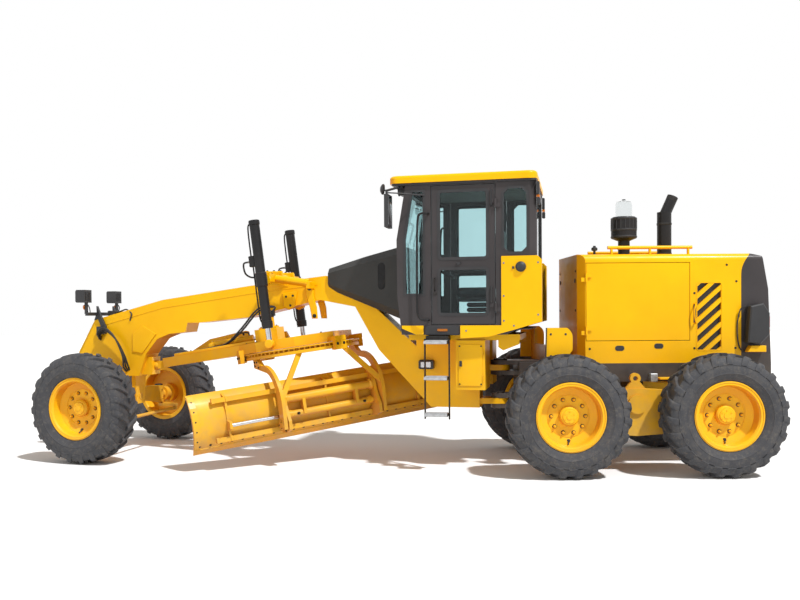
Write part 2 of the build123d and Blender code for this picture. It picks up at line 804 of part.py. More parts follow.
with BuildPart() as cab_frame:
    with BuildSketch(Plane.XZ.offset(-CAB_HALF)):
        with BuildLine():
            Polyline(
                (CAB_REAR, 1540),
                (CAB_REAR, CAB_TOP),
                (900, CAB_TOP),
                (1000, 2380),
                (995, 1800),
                (950, CAB_FLOOR),
                (-120, CAB_FLOOR),
                close=True,
            )
        make_face()
    extrude(amount=2 * CAB_HALF)
    chamfer(edges().filter_by(Axis.Z).group_by(Axis.X)[0], 60)
    with BuildSketch(Plane.XZ.offset(CAB_WALL - CAB_HALF)):
        with BuildLine():
            Polyline(
                (CAB_REAR + CAB_WALL, 1580),
                (CAB_REAR + CAB_WALL, CAB_TOP - 20),
                (858, CAB_TOP - 20),
                (950, 2380),
                (945, 1800),
                (905, CAB_FLOOR + CAB_WALL),
                (-100, CAB_FLOOR + CAB_WALL),
                close=True,
            )
        make_face()
    extrude(amount=2 * (CAB_HALF - CAB_WALL), mode=Mode.SUBTRACT)
    # doorways and side windows
    with BuildSketch(Plane.XZ.offset(-CAB_HALF - 10)):
        with Locations(
            (
                (CAB_DOOR_REAR + CAB_DOOR_FRONT) / 2,
                (CAB_DOOR_LOW + CAB_DOOR_HIGH) / 2,
            )
        ):
            Rectangle(CAB_DOOR_FRONT - CAB_DOOR_REAR, CAB_DOOR_HIGH - CAB_DOOR_LOW)
        with Locations((-215, 2550)):
            window = Rectangle(270, 680)
        chamfer(window.vertices(), REAR_WINDOW_CUT)
        with BuildLine():
            Polyline(
                (700, 1800), (925, 1800), (930, 2380), (850, 2890), (700, 2890), close=True
            )
        make_face()
    extrude(amount=2 * CAB_HALF + 20, mode=Mode.SUBTRACT)
    # windscreen and rear window
    with BuildSketch(Plane.YZ.offset(800)):
        with Locations((0, 2320)):
            Rectangle(1180, 1080)
    extrude(amount=300, mode=Mode.SUBTRACT)
    with BuildSketch(Plane.YZ.offset(CAB_REAR - 10)):
        with Locations((0, 2400)):
            Rectangle(1120, 920)
    extrude(amount=100, mode=Mode.SUBTRACT)
    for side in (1, -1):
        for z in CAB_HINGES:
            hinge_pin(
                CAB_DOOR_REAR, side * (CAB_HALF + HINGE_OUT), z, side * CAB_HALF, 1
            )
save("cab_frame", cab_frame, FRONT)

with BuildPart() as cab_panels:
    for side in (1, -1):
        with BuildSketch(Plane.XZ.offset(-side * (CAB_HALF + FIT))):
            with BuildLine():
                Polyline(
                    (PANEL_BACK, 1530), (PANEL_BACK, 2150), (PANEL_BACK + 40, 2190), (-76, 2190),
                    (-76, 1494), (340, 1494), (340, 1362), (50, 1380), (-210, 1452), close=True,
                )
            make_face()
            with BuildLine():
                Polyline(
                    (720, 1494), (948, 1494), (944, 1465), (800, 1402), (720, 1402), close=True
                )
            make_face()
        extrude(amount=-side * PANEL_T)
        # return round the cab's rear corner
        with Locations((PANEL_BACK + PANEL_T / 2, side * (CAB_HALF - 60), 1840)):
            Box(PANEL_T, 2 * (60 + PANEL_T), 620)
save("cab_panels", cab_panels, FRONT)

with BuildPart() as cab_roof:
    with BuildSketch(Plane.XY.offset(CAB_TOP)):
        with Locations((320, 0)):
            RectangleRounded(1510, 1460, 90)
    extrude(amount=ROOF_TOP - CAB_TOP)
    fillet(faces().sort_by(Axis.Z)[-1].edges(), 30)
save("cab_roof", cab_roof, FRONT)

with BuildPart() as cab_glass:
    for side in (1, -1):
        with BuildSketch(Plane.XZ.offset(-side * (CAB_HALF - 20))):
            with Locations((-215, 2550)):
                pane = Rectangle(270 - 2 * FIT, 680 - 2 * FIT)
            chamfer(pane.vertices(), REAR_WINDOW_CUT)
            with BuildLine():
                Polyline(
                    (700 + FIT, 1800 + FIT),
                    (925 - FIT, 1800 + FIT),
                    (930 - FIT, 2380),
                    (850 - FIT, 2890 - FIT),
                    (700 + FIT, 2890 - FIT),
                    close=True,
                )
            make_face()
        extrude(amount=side * 6)
    with BuildSketch(Plane.YZ.offset(CAB_REAR + 15)):
        with Locations((0, 2400)):
            Rectangle(1120 - 2 * FIT, 920 - 2 * FIT)
    extrude(amount=6)
    with BuildSketch(Plane.XZ.offset(-590 + FIT)):
        with BuildLine():
            Polyline(
                (906, 2855), (975, 2380), (971, 1785), (965, 1785), (969, 2380), (900, 2855),
                close=True,
            )
        make_face()
    extrude(amount=1180 - 2 * FIT)
save("cab_glass", cab_glass, FRONT)

DOOR_T = 42.0
PANES = ((2160.0, 2880.0), (1590.0, 2090.0))


def make_cab_door(side):
    """Cab door hinged at its rear edge, with an upper and a lower window."""
    with BuildPart() as door:
        with BuildSketch(Plane.XZ.offset(-side * CAB_HALF)):
            with BuildLine():
                Polyline(
                    (CAB_DOOR_REAR + 5, CAB_DOOR_LOW + 5),
                    (CAB_DOOR_REAR + 5, CAB_DOOR_HIGH - 5),
                    (CAB_DOOR_FRONT - 5, CAB_DOOR_HIGH - 5),
                    (CAB_DOOR_FRONT - 5, CAB_DOOR_LOW + 5),
                    close=True,
                )
            make_face()
            for low, high in PANES:
                with Locations((310, (low + high) / 2)):
                    RectangleRounded(520, high - low, 50, mode=Mode.SUBTRACT)
        extrude(amount=side * DOOR_T)
        for z in CAB_HINGES:
            hinge_eye(
                CAB_DOOR_REAR, side * (CAB_HALF + HINGE_OUT), z, side * CAB_HALF, 1
            )
    return door


def make_door_glass(side):
    """The cab door's two panes."""
    with BuildPart() as glass:
        with BuildSketch(Plane.XZ.offset(-side * (CAB_HALF - 18))):
            for low, high in PANES:
                with Locations((310, (low + high) / 2)):
                    RectangleRounded(520 - 2 * FIT, high - low - 2 * FIT, 50 - FIT)
        extrude(amount=side * 6)
    return glass


for side_name, side in SIDES:
    save(f"cab_door_{side_name}", make_cab_door(side), FRONT)
    save(f"cab_door_glass_{side_name}", make_door_glass(side), FRONT)

with BuildPart() as seat:
    with BuildSketch(Plane.XY.offset(CAB_FLOOR + CAB_WALL)):
        with Locations((230, 0)):
            Rectangle(260, 300)
    extrude(amount=330)
    with BuildSketch(Plane.XY.offset(CAB_FLOOR + CAB_WALL + 330)):
        with Locations((240, 0)):
            RectangleRounded(480, 500, 60)
    extrude(amount=120)
    with BuildSketch(Plane.YZ.offset(-60)):
        with Locations((0, CAB_FLOOR + CAB_WALL + 750)):
            RectangleRounded(460, 640, 80)
    extrude(amount=110)
save("seat", seat, FRONT)

with BuildPart() as console:
    with BuildSketch(Plane.XZ.offset(-110)):
        with BuildLine():
            Polyline(
                (660, CAB_FLOOR + CAB_WALL),
                (860, CAB_FLOOR + CAB_WALL),
                (880, CAB_FLOOR + CAB_WALL + 500),
                (760, CAB_FLOOR + CAB_WALL + 560),
                (700, CAB_FLOOR + CAB_WALL + 540),
                close=True,
            )
        make_face()
    extrude(amount=220)
    wheel_plane = Plane(origin=(690, 0, CAB_FLOOR + CAB_WALL + 640), z_dir=(-0.5, 0, 1))
    with BuildSketch(wheel_plane):
        Circle(210)
        Circle(180, mode=Mode.SUBTRACT)
        Rectangle(400, 30)
        Circle(40)
    extrude(amount=24)
    with BuildSketch(wheel_plane):
        Circle(30)
    extrude(amount=-110)
save("console", console, FRONT)

# ======================= fittings of the front frame =======================
LADDER_Y = (725.0, 860.0)
LADDER_X = (450.0, 700.0)

with BuildPart() as ladders:
    for side in (1, -1):
        y = side * (LADDER_Y[0] + LADDER_Y[1]) / 2
        for x in LADDER_X:
            with Locations((x, side * (LADDER_Y[0] + 20), 950)):
                Box(12, 40, 820)
        for z in (590, 960, 1325):
            with Locations(((LADDER_X[0] + LADDER_X[1]) / 2, y, z)):
                Box(LADDER_X[1] - LADDER_X[0] - 12, LADDER_Y[1] - LADDER_Y[0], 30)
        with Locations(((LADDER_X[0] + LADDER_X[1]) / 2, side * 662.5, 1365)):
            Box(LADDER_X[1] - LADDER_X[0] - 20, 165, 50)
save("ladders", ladders, FRONT)

with BuildPart() as side_boxes:
    for side in (1, -1):
        with BuildSketch(Plane.XY.offset(830)):
            with Locations((250, side * (BEAM_HALF + FIT + 230))):
                Rectangle(300, 460)
        extrude(amount=CAB_FLOOR - 60 - 830)
save("side_boxes", side_boxes, FRONT)

with BuildPart() as lift_yoke:
    with BuildSketch(Plane.YZ.offset(LIFT_X - 60)):
        with Locations((0, LIFT_Z + 30)):
            Rectangle(2 * (LIFT_Y - BARREL_R - 30), 90)
    extrude(amount=120)
    for side in (1, -1):
        with BuildSketch(Plane.XZ.offset(-side * (LIFT_Y - BARREL_R - 60))):
            with Locations((LIFT_X, LIFT_Z)):
                Circle(70)
        extrude(amount=-side * 40)
        with BuildSketch(Plane.XZ.offset(-side * (LIFT_Y - BARREL_R - 64))):
            with Locations((LIFT_X, LIFT_Z)):
                Circle(TRUNNION_R + RUN)
        extrude(amount=-side * 60, mode=Mode.SUBTRACT)
    with BuildSketch(Plane.XZ.offset(-BEAM_HALF - 10)):
        with BuildLine():
            Polyline(
                (LIFT_X - 160, 1940), (LIFT_X - 60, 2075), (LIFT_X + 60, 2075),
                (LIFT_X + 160, 1940), close=True,
            )
        make_face()
    extrude(amount=2 * BEAM_HALF + 20)
    with BuildSketch(Plane.XZ.offset(-BEAM_HALF - FIT)):
        with BuildLine():
            Polyline(
                (2840, 1950 + FIT), (1930, 2050 + FIT), (1930, 1700), (2840, 1700), close=True
            )
        make_face()
    extrude(amount=2 * (BEAM_HALF + FIT), mode=Mode.SUBTRACT)
save("lift_yoke", lift_yoke, FRONT)

with BuildPart() as headlamps:
    with Locations((4800, 0, 1640)):
        Box(40, 760, 40)
    for y in (-340, 340):
        with Locations((4830, y, 1720)):
            Box(30, 30, 160)
        with Locations((4860, y, 1850)):
            Box(110, 150, 150)
    for y in (-140, 140):
        with Locations((4800, y, 1583.2)):
            Box(40, 30, 59, align=(Align.CENTER, Align.CENTER, Align.MIN))
save("headlamps", headlamps, FRONT)

with BuildPart() as mirrors:
    for side in (1, -1):
        with Locations((960, side * 660, CAB_TOP - 20)):
            Box(50, 50, 40)
        add(rod((960, side * 660, 2935), (1050, side * 930, 2860), 12))
        add(rod((1050, side * 930, 2860), (1050, side * 930, 2500), 12))
        with Locations((1035, side * 930, 2650)):
            Box(40, 200, 330)
save("mirrors", mirrors, FRONT)

# ======================= drawbar and circle =======================
EYE_BACK = -1683.0  # lift pins from the ball, in the drawbar's frame
EYE_UP = 32.0
LIFT_PIN_R = 16.0
EYE_ROOM = 14.0  # the rod follows by a constant ratio and drifts this far

with BuildPart() as drawbar:
    Sphere(BALL_R)
    with BuildSketch(Plane.YZ.offset(-140)):
        Rectangle(90, 90)
    extrude(amount=110)
    with BuildSketch(Plane.XY.offset(CIRCLE_Z + 8)):
        with BuildLine():
            Polyline(
                (-120, 70), (-1250, 420), (-1500, 552), (-1950, 552), (-2350, 380),
                (-2350, -380), (-1950, -552), (-1500, -552), (-1250, -420), (-120, -70),
                close=True,
            )
        make_face()
        with BuildLine():
            Polyline(
                (-420, 50), (-1240, 290), (-1240, -290), (-420, -50), close=True
            )
        make_face(mode=Mode.SUBTRACT)
        with Locations((CIRCLE_X, 0)):
            Circle(230, mode=Mode.SUBTRACT)
    extrude(amount=110)
    for side in (1, -1):
        with BuildSketch(Plane.XZ.offset(-side * 520)):
            with Locations((EYE_BACK, EYE_UP)):
                Circle(45)
            with BuildLine():
                Polyline(
                    (EYE_BACK - 130, CIRCLE_Z + 8), (EYE_BACK + 130, CIRCLE_Z + 8),
                    (EYE_BACK + 45, EYE_UP + 30), (EYE_BACK - 45, EYE_UP + 30), close=True
                )
            make_face()
        extrude(amount=-side * 35)
        with BuildSketch(Plane.XZ.offset(-side * 520)):
            with Locations((EYE_BACK, EYE_UP)):
                Circle(LIFT_PIN_R)
        extrude(amount=-side * 85)
    # four shoes that carry the circle
    for angle in (35, 145, 215, 325):
        with Locations(Location((CIRCLE_X, 0, 0), (0, 0, angle))):
            with Locations((CIRCLE_R + 30, 0, CIRCLE_Z - 32)):
                Box(50, 150, 2 * 60)
            with Locations((CIRCLE_R + 17.5, 0, CIRCLE_Z - CIRCLE_H - RUN - 8)):
                Box(75, 150, 16)  # lip under the circle's band
            with Locations((CIRCLE_R - 60, 0, CIRCLE_Z + 33)):
                Box(240, 150, 50)
save("drawbar", drawbar, DRAWBAR)

with BuildPart() as circle_drive:
    with Locations((CIRCLE_X + 230, 320, CIRCLE_Z + 118)):
        Box(260, 240, 140, align=(Align.CENTER, Align.CENTER, Align.MIN))
        Cylinder(70, 260, align=(Align.CENTER, Align.CENTER, Align.MIN))
save("circle_drive", circle_drive, DRAWBAR)

with BuildPart() as circle:
    with BuildSketch(Plane.XY.offset(-FLANGE_H)):
        Circle(CIRCLE_R)
        Circle(CIRCLE_BORE, mode=Mode.SUBTRACT)
    extrude(amount=FLANGE_H)
    # teeth all round between the flange and the band, each narrowing outward
    with BuildSketch(Plane.XY.offset(BAND_H - CIRCLE_H)):
        Circle(ROOT_R)
        with PolarLocations(ROOT_R + TOOTH_H / 2 - 4, TEETH):
            Trapezoid(TOOTH_W, TOOTH_H + 8, 76, rotation=-90)
        Circle(CIRCLE_BORE, mode=Mode.SUBTRACT)
    extrude(amount=CIRCLE_H - FLANGE_H - BAND_H)
    with BuildSketch(Plane.XY.offset(-CIRCLE_H)):
        Circle(BAND_R)
        Circle(CIRCLE_BORE, mode=Mode.SUBTRACT)
    extrude(amount=BAND_H)
save("circle", circle, CIRCLE)


def make_circle_arm(side):
    """Curved arm under the circle, with the bearing of the blade carrier."""
    with BuildPart() as arm:
        with BuildSketch(Plane.XZ.offset(-side * ARM_Y - ARM_T / 2)):
            with BuildLine():
                Polyline((-60, -CIRCLE_H), (-190, -CIRCLE_H), (-290, -145))
                ThreePointArc((-290, -145), (-612, -275), (-722, -600))
                Polyline((-722, -600), (-700, -840), (-580, -850), (-595, -740), (-604, -650),
                         (-604, -480))
                ThreePointArc((-604, -480), (-552, -330), (-420, -230))
                Polyline((-420, -230), (-60, -160), (-60, -CIRCLE_H))
            make_face()
            with Locations(PIVOT):
                Circle(PIVOT_R + RUN, mode=Mode.SUBTRACT)
        extrude(amount=ARM_T)
        # flat brace from the arm's back up and inward to the circle
        low = Vector(-704, side * 594, -500)
        high = Vector(-545, side * 250, -40)
        brace = Box(
            56, 24, (high - low).length, align=(Align.CENTER, Align.CENTER, Align.MIN),
            mode=Mode.PRIVATE,
        )
        add(Plane(origin=low, x_dir=(0, 1, 0.7 * side), z_dir=high - low) * brace)
        with Locations((0, 0, -CIRCLE_H)):
            Box(2000, 2000, 300, align=(Align.CENTER, Align.CENTER, Align.MIN), mode=Mode.SUBTRACT)
    return arm


for side_name, side in SIDES:
    save(f"circle_arm_{side_name}", make_circle_arm(side), CIRCLE)

# ======================= blade =======================
CARRIER_Y = 545.0
CARRIER_T = 36.0
TUBE = (-570.0, -530.0)
SHIFT_BAR = (-560.0, -700.0)  # side shift cylinder
SHIFT_ROD_R = 20.0
RAIL_X = -505.0  # slide rails on the blade's back
RAILS = (-425.0, -835.0)
RAIL_BAR = (36.0, 50.0)

with BuildPart() as blade_carrier:
    inner = CARRIER_Y - CARRIER_T / 2
    for y in (CARRIER_Y, -CARRIER_Y):
        with BuildSketch(Plane.XZ.offset(-y - CARRIER_T / 2)):
            with BuildLine():
                Polyline(
                    (-690, -850), (-600, -880), (-482, -880), (-482, -790), (-540, -760),
                    (-540, -470), (-482, -465), (-482, -385), (-570, -385), (-625, -480),
                    (-640, -600), (-700, -760), close=True,
                )
            make_face()
        extrude(amount=CARRIER_T)
    with BuildSketch(Plane.XZ.offset(-inner)):
        with Locations(TUBE):
            Circle(45)
        with Locations(SHIFT_BAR):
            Circle(38)
    extrude(amount=2 * inner)
    with BuildSketch(Plane.XZ.offset(-CARRIER_Y)):
        with Locations(SHIFT_BAR):
            Circle(SHIFT_ROD_R + RUN)
    extrude(amount=CARRIER_Y + inner - 20, mode=Mode.SUBTRACT)
    with BuildSketch(Plane.XZ.offset(-CARRIER_Y - CARRIER_T)):
        with Locations(SHIFT_BAR):
            Circle(SHIFT_ROD_R + RUN)
    extrude(amount=CARRIER_T + 10, mode=Mode.SUBTRACT)
    with BuildSketch(Plane.XZ.offset(-CARRIER_Y - CARRIER_T)):
        for z in RAILS:
            with Locations((RAIL_X + 10, z)):
                Rectangle(RAIL_BAR[0] + 20 + 2 * RUN, RAIL_BAR[1] + 2 * RUN)
    extrude(amount=2 * (CARRIER_Y + CARRIER_T), mode=Mode.SUBTRACT)
    for side in (1, -1):
        with BuildSketch(Plane.XZ.offset(-side * CARRIER_Y)):
            with Locations(PIVOT):
                Circle(PIVOT_R)
        extrude(amount=-side * (ARM_Y + ARM_T / 2 + 10 - CARRIER_Y))
save("blade_carrier", blade_carrier, CIRCLE)

edge_x = -BLADE_BACK
edge_z = -BLADE_DROP
BLADE_LEFT = BLADE_LENGTH - BLADE_RIGHT
RIBS = (0.0, BLADE_LEFT - RIB_INSET, RIB_INSET - BLADE_RIGHT)
with BuildPart() as moldboard:
    with BuildSketch(Plane.XZ.offset(-BLADE_LEFT)):
        with BuildLine():
            ThreePointArc(
                (edge_x - 16, edge_z + 60),
                (edge_x - 105, edge_z + 330),
                (edge_x + 10, edge_z + BLADE_H),
            )
            Line((edge_x + 10, edge_z + BLADE_H), (edge_x - 8, edge_z + BLADE_H + 10))
            ThreePointArc(
                (edge_x - 8, edge_z + BLADE_H + 10),
                (edge_x - 105 - BLADE_T, edge_z + 330),
                (edge_x - 16 - BLADE_T, edge_z + 60),
            )
            Line((edge_x - 16 - BLADE_T, edge_z + 60), (edge_x - 16, edge_z + 60))
        make_face()
    extrude(amount=BLADE_LENGTH)
    # slide rails on ribs behind the board
    with BuildSketch(Plane.XZ.offset(RAIL_INSET - BLADE_LEFT)):
        for z in RAILS:
            with Locations((RAIL_X, z)):
                Rectangle(*RAIL_BAR)
    extrude(amount=BLADE_LENGTH - 2 * RAIL_INSET)
    for y in RIBS:
        with BuildSketch(Plane.XZ.offset(-y - 12)):
            with BuildLine():
                ThreePointArc(
                    (edge_x - 16 - BLADE_T / 2, edge_z + 64),
                    (edge_x - 105 - BLADE_T / 2, edge_z + 330),
                    (edge_x - BLADE_T / 2, edge_z + BLADE_H - 8),
                )
                Polyline(
                    (edge_x - BLADE_T / 2, edge_z + BLADE_H - 8),
                    (RAIL_X - 10, RAILS[0] + 20),
                    (RAIL_X - 10, RAILS[1] - 20),
                    (edge_x - 16 - BLADE_T / 2, edge_z + 64),
                )
            make_face()
        extrude(amount=24)
    with BuildSketch(Plane.XZ.offset(-RIBS[1] - 15)):
        with BuildLine():
            Polyline(
                (edge_x - 113, -640), (SHIFT_BAR[0] - 35, SHIFT_BAR[1] + 35),
                (SHIFT_BAR[0] - 35, SHIFT_BAR[1] - 35), (edge_x - 104, -760), close=True
            )
        make_face()
    extrude(amount=30)
    with BuildSketch(Plane.XZ.offset(-RIBS[1])):
        with Locations(SHIFT_BAR):
            Circle(SHIFT_ROD_R)
    extrude(amount=RIBS[1] + 5)
save("moldboard", moldboard, CIRCLE)

with BuildPart() as cutting_edge:
    with BuildSketch(Plane.XZ.offset(-BLADE_LEFT)):
        with BuildLine():
            Polyline(
                (edge_x + 20, edge_z), (edge_x + 2, edge_z + 2), (edge_x - 36, edge_z + 50),
                (edge_x - 36, edge_z + 59.7), (edge_x - 14, edge_z + 59.7), (edge_x - 8, edge_z + 40),
                close=True
            )
        make_face()
    extrude(amount=BLADE_LENGTH)
save("cutting_edge", cutting_edge, CIRCLE)

# ======================= cylinders =======================
lean = degrees(atan2(LIFT_X - LIFT_EYE[0], LIFT_Z - LIFT_EYE[1]))
reach = hypot(LIFT_X - LIFT_EYE[0], LIFT_Z - LIFT_EYE[1])

for side_name, side in SIDES:
    trunnion = FRONT * Location((LIFT_X, side * LIFT_Y, LIFT_Z), (0, lean, 0))
    with BuildPart() as barrel:
        with BuildSketch(Plane.XY.offset(BARREL_LOW)):
            Circle(BARREL_R)
        extrude(amount=BARREL_HIGH - BARREL_LOW)
        with BuildSketch(Plane.XZ.offset(side * (BARREL_R - 10))):
            Circle(TRUNNION_R)
        extrude(amount=side * 70)
        with BuildSketch(Plane.XY.offset(BARREL_LOW + BARREL_END)):
            Circle(PISTON_R)
        extrude(amount=BARREL_HIGH - BARREL_LOW - 1.5 * BARREL_END, mode=Mode.SUBTRACT)
        with BuildSketch(Plane.XY.offset(BARREL_LOW)):
            Circle(ROD_R + RUN)
        extrude(amount=BARREL_END, mode=Mode.SUBTRACT)
    save(f"lift_barrel_{side_name}", barrel, trunnion)
    with BuildPart() as piston_rod:
        with BuildSketch(Plane.XY.offset(-reach + EYE_ROOM + LIFT_PIN_R + 4)):
            Circle(ROD_R)
        extrude(amount=reach - EYE_ROOM - LIFT_PIN_R - 4 + PISTON_TOP)
        with BuildSketch(Plane.XY.offset(PISTON_TOP - 30)):
            Circle(PISTON_R - RUN)
        extrude(amount=30)
        # blind cap round the drawbar's pin, with room for the rod's drift
        with BuildSketch(Plane.XZ.offset(side * 25)):
            with Locations((0, -reach)):
                Circle(LIFT_PIN_R + EYE_ROOM + 18)
        extrude(amount=-side * 60)
        with BuildSketch(Plane.XZ.offset(side * 25)):
            with Locations((0, -reach)):
                Circle(LIFT_PIN_R + EYE_ROOM)
        extrude(amount=-side * 46, mode=Mode.SUBTRACT)
    save(f"lift_rod_{side_name}", piston_rod, trunnion)
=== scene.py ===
import json
from math import cos, exp, pi, radians, sin

import bmesh
import bpy
from mathutils import Matrix, Vector


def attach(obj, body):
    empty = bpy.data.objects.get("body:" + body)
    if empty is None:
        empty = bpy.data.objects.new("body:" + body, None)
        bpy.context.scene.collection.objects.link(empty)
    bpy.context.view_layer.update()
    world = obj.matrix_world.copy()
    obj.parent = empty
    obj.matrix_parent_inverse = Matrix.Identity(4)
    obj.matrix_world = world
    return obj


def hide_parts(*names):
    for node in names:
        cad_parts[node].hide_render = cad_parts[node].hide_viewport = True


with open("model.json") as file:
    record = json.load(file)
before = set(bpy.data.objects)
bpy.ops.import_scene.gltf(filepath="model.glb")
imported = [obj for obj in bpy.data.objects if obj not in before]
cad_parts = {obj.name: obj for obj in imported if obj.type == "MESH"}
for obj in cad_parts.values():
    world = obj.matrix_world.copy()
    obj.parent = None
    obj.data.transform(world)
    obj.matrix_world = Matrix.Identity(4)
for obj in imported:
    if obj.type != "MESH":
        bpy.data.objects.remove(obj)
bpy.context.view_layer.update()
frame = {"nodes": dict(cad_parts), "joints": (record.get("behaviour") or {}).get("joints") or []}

scene = bpy.context.scene

# ============ local frames: the same ones the CAD uses, read from the joints ============
joints = {j["name"]: j for j in frame["joints"]}
SIDES = (("left", 1), ("right", -1))


def joint_pos(name):
    return Vector(joints[name]["pos_m"])


def joint_axis(name):
    return Vector(joints[name]["axis"]).normalized()


def axes_frame(origin, y_axis, z_axis):
    """Local frame with the given origin, Y and Z; X is forward."""
    x_axis = y_axis.cross(z_axis).normalized()
    rot = Matrix((x_axis, y_axis, z_axis)).transposed().to_4x4()
    return Matrix.Translation(origin) @ rot


UP = Vector((0, 0, 1))
hitch = joint_pos("articulation")
REAR = Matrix.Translation((hitch.x, hitch.y, 0))
FRONT = axes_frame((hitch.x, hitch.y, 0), joint_axis("drawbar_lift"), UP)
DRAWBAR = axes_frame(
    joint_pos("drawbar_lift"), joint_axis("drawbar_lift"), joint_axis("circle_turn")
)
CIRCLE = axes_frame(
    joint_pos("circle_turn"), joint_axis("blade_pitch"), joint_axis("circle_turn")
)


def hub_frame(joint):
    """Frame of a wheel: Y along its axle, pointing to the machine's left."""
    return axes_frame(joint_pos(joint), joint_axis(joint), UP)


KEY = Vector((-0.42, 0.46, 0.95)).normalized()  # towards the main lamp


# ============ materials ============
def srgb(r, g, b):
    """A colour given as it looks on screen, 0 to 255, in linear light."""
    out = []
    for v in (r / 255, g / 255, b / 255):
        out.append(v / 12.92 if v <= 0.04045 else ((v + 0.055) / 1.055) ** 2.4)
    return (*out, 1.0)


class Shader:
    """A Principled material with small helpers for noise, ramps and bump."""

    def __init__(self, name, **values):
        self.mat = bpy.data.materials.new(name)
        self.mat.use_nodes = True
        self.tree = self.mat.node_tree
        self.bsdf = self.tree.nodes["Principled BSDF"]
        for key, value in values.items():
            self.bsdf.inputs[key.replace("_", " ")].default_value = value
        self.coord = self.node("TexCoord").outputs["Object"]

    def feed(self, socket, value):
        """Link a socket to another one, or set it to a plain value."""
        if isinstance(value, bpy.types.NodeSocket):
            self.tree.links.new(value, socket)
        else:
            socket.default_value = value

    def node(self, kind, inputs={}, **props):
        """A node with its properties set and its inputs fed."""
        made = self.tree.nodes.new("ShaderNode" + kind)
        for key, value in props.items():
            setattr(made, key, value)
        for key, value in inputs.items():
            self.feed(made.inputs[key], value)
        return made

    def noise(self, scale, detail=4.0, rough=0.55, stretch=None):
        source = self.coord
        if stretch:
            source = self.node("Mapping", {"Vector": source, "Scale": stretch}).outputs["Vector"]
        fed = {"Vector": source, "Scale": scale, "Detail": detail, "Roughness": rough}
        return self.node("TexNoise", fed).outputs["Fac"]

    def ramp(self, fac, *stops):
        made = self.node("ValToRGB", {"Fac": fac})
        elements = made.color_ramp.elements
        while len(elements) < len(stops):
            elements.new(0.5)
        for element, (place, colour) in zip(elements, stops):
            element.position, element.color = place, (*colour[:3], 1.0)
        return made.outputs["Color"]

    def mix(self, fac, a, b):
        return self.node("Mix", {0: fac, 6: a, 7: b}, data_type="RGBA").outputs[2]

    def grey(self, fac, low, high, at=(0.3, 0.7)):
        """Map noise onto a plain number between low and high."""
        fed = {"Value": fac, "From Min": at[0], "From Max": at[1], "To Min": low, "To Max": high}
        return self.node("MapRange", fed).outputs["Result"]

    def height(self, low, high):
        """0 at height low to 1 at height high, in metres above the ground."""
        xyz = self.node("SeparateXYZ", {0: self.node("NewGeometry").outputs["Position"]})
        return self.grey(xyz.outputs["Z"], 0.0, 1.0, (low, high))

    def turned_away(self):
        """1 on faces turned away from the key light, 0 on faces it reaches."""
        fed = {0: self.node("NewGeometry").outputs["Normal"], 1: KEY}
        dot = self.node("VectorMath", fed, operation="DOT_PRODUCT")
        return self.grey(dot.outputs["Value"], 1.0, 0.0, (-0.15, 0.3))

    def times(self, a, b):
        return self.node("Math", {0: a, 1: b}, operation="MULTIPLY").outputs[0]

    def colour(self, value):
        self.feed(self.bsdf.inputs["Base Color"], value)

    def rough(self, value):
        self.feed(self.bsdf.inputs["Roughness"], value)

    def bump(self, fac, strength, distance=0.001):
        """Bump on top of the bump that is there."""
        fed = {"Height": fac, "Strength": strength, "Distance": distance}
        normal = self.bsdf.inputs["Normal"]
        if normal.links:
            fed["Normal"] = normal.links[0].from_socket
        self.feed(normal, self.node("Bump", fed).outputs["Normal"])


def painted(name, colour, shade, dust, rough=(0.32, 0.46), coat=0.08, dusty=0.5, away=None):
    """Enamel paint: soft colour drift, orange peel, dust that gathers low down, and, where away is given,
    painted shade: faces turned away from the key light are mixed toward that colour.
    """
    s = Shader(name, Coat_Weight=coat, Coat_Roughness=0.12, Specular_IOR_Level=0.18)
    drift = s.ramp(s.noise(1.7), (0.35, shade), (0.65, colour))
    fine = s.noise(9.0, 6.0, 0.6)
    low = s.grey(s.height(1.5, 0.1), 0.0, 1.0, (0.0, 1.0))
    film = s.times(s.times(low, s.grey(fine, 0.3, 1.0)), dusty)
    # painted shade: faces turned away from the key light take the away colour
    if away:
        drift = s.mix(s.turned_away(), drift, away)
    s.colour(s.mix(film, drift, dust))
    s.rough(s.grey(s.noise(9.0, 5.0), *rough))
    s.bump(s.noise(420.0, 2.0), 0.05, 0.0006)
    s.bump(s.noise(2.2, 2.0), 0.12, 0.004)
    return s.mat


YELLOW_ON = srgb(250, 191, 0)
YELLOW_DEEP = srgb(243, 181, 0)
# painted shade: the orange that faces turned away from the key light are painted with
PAINTED_SHADE_ORANGE = srgb(218, 138, 0)
DUST = srgb(150, 132, 105)
# both yellows carry painted shade on faces turned away from the key light
yellow = painted("yellow_paint", YELLOW_ON, YELLOW_DEEP, DUST, dusty=0.25, away=PAINTED_SHADE_ORANGE)
yellow_low = painted("yellow_worn", srgb(247, 187, 2), srgb(230, 168, 2), DUST, dusty=0.6, away=PAINTED_SHADE_ORANGE)
dark = painted("dark_paint", srgb(66, 62, 63), srgb(58, 55, 56), DUST, (0.38, 0.52), 0.12, 0.4)
cover_grey = painted("cover_grey", srgb(60, 60, 59), srgb(53, 53, 52), DUST, (0.45, 0.6), 0.0, 0.2)
black = painted("black_paint", srgb(38, 37, 38), srgb(30, 30, 31), DUST, (0.4, 0.55), 0.1, 0.35)


def plastic(name, colour, other, rough=(0.45, 0.6), grain=900.0):
    s = Shader(name)
    s.colour(s.ramp(s.noise(5.0), (0.35, colour), (0.7, other)))
    s.rough(s.grey(s.noise(14.0), *rough))
    s.bump(s.noise(grain, 3.0), 0.25, 0.0004)
    return s.mat


black_plastic = plastic("black_plastic", srgb(36, 36, 38), srgb(44, 44, 46))
# near-black sheet material: painted shade for openings
opening_painted_shade = plastic("opening_painted_shade", srgb(12, 12, 14), srgb(17, 17, 19), (0.8, 0.95))
cab_lining = plastic("cab_lining", srgb(96, 96, 92), srgb(84, 84, 80), (0.7, 0.85))


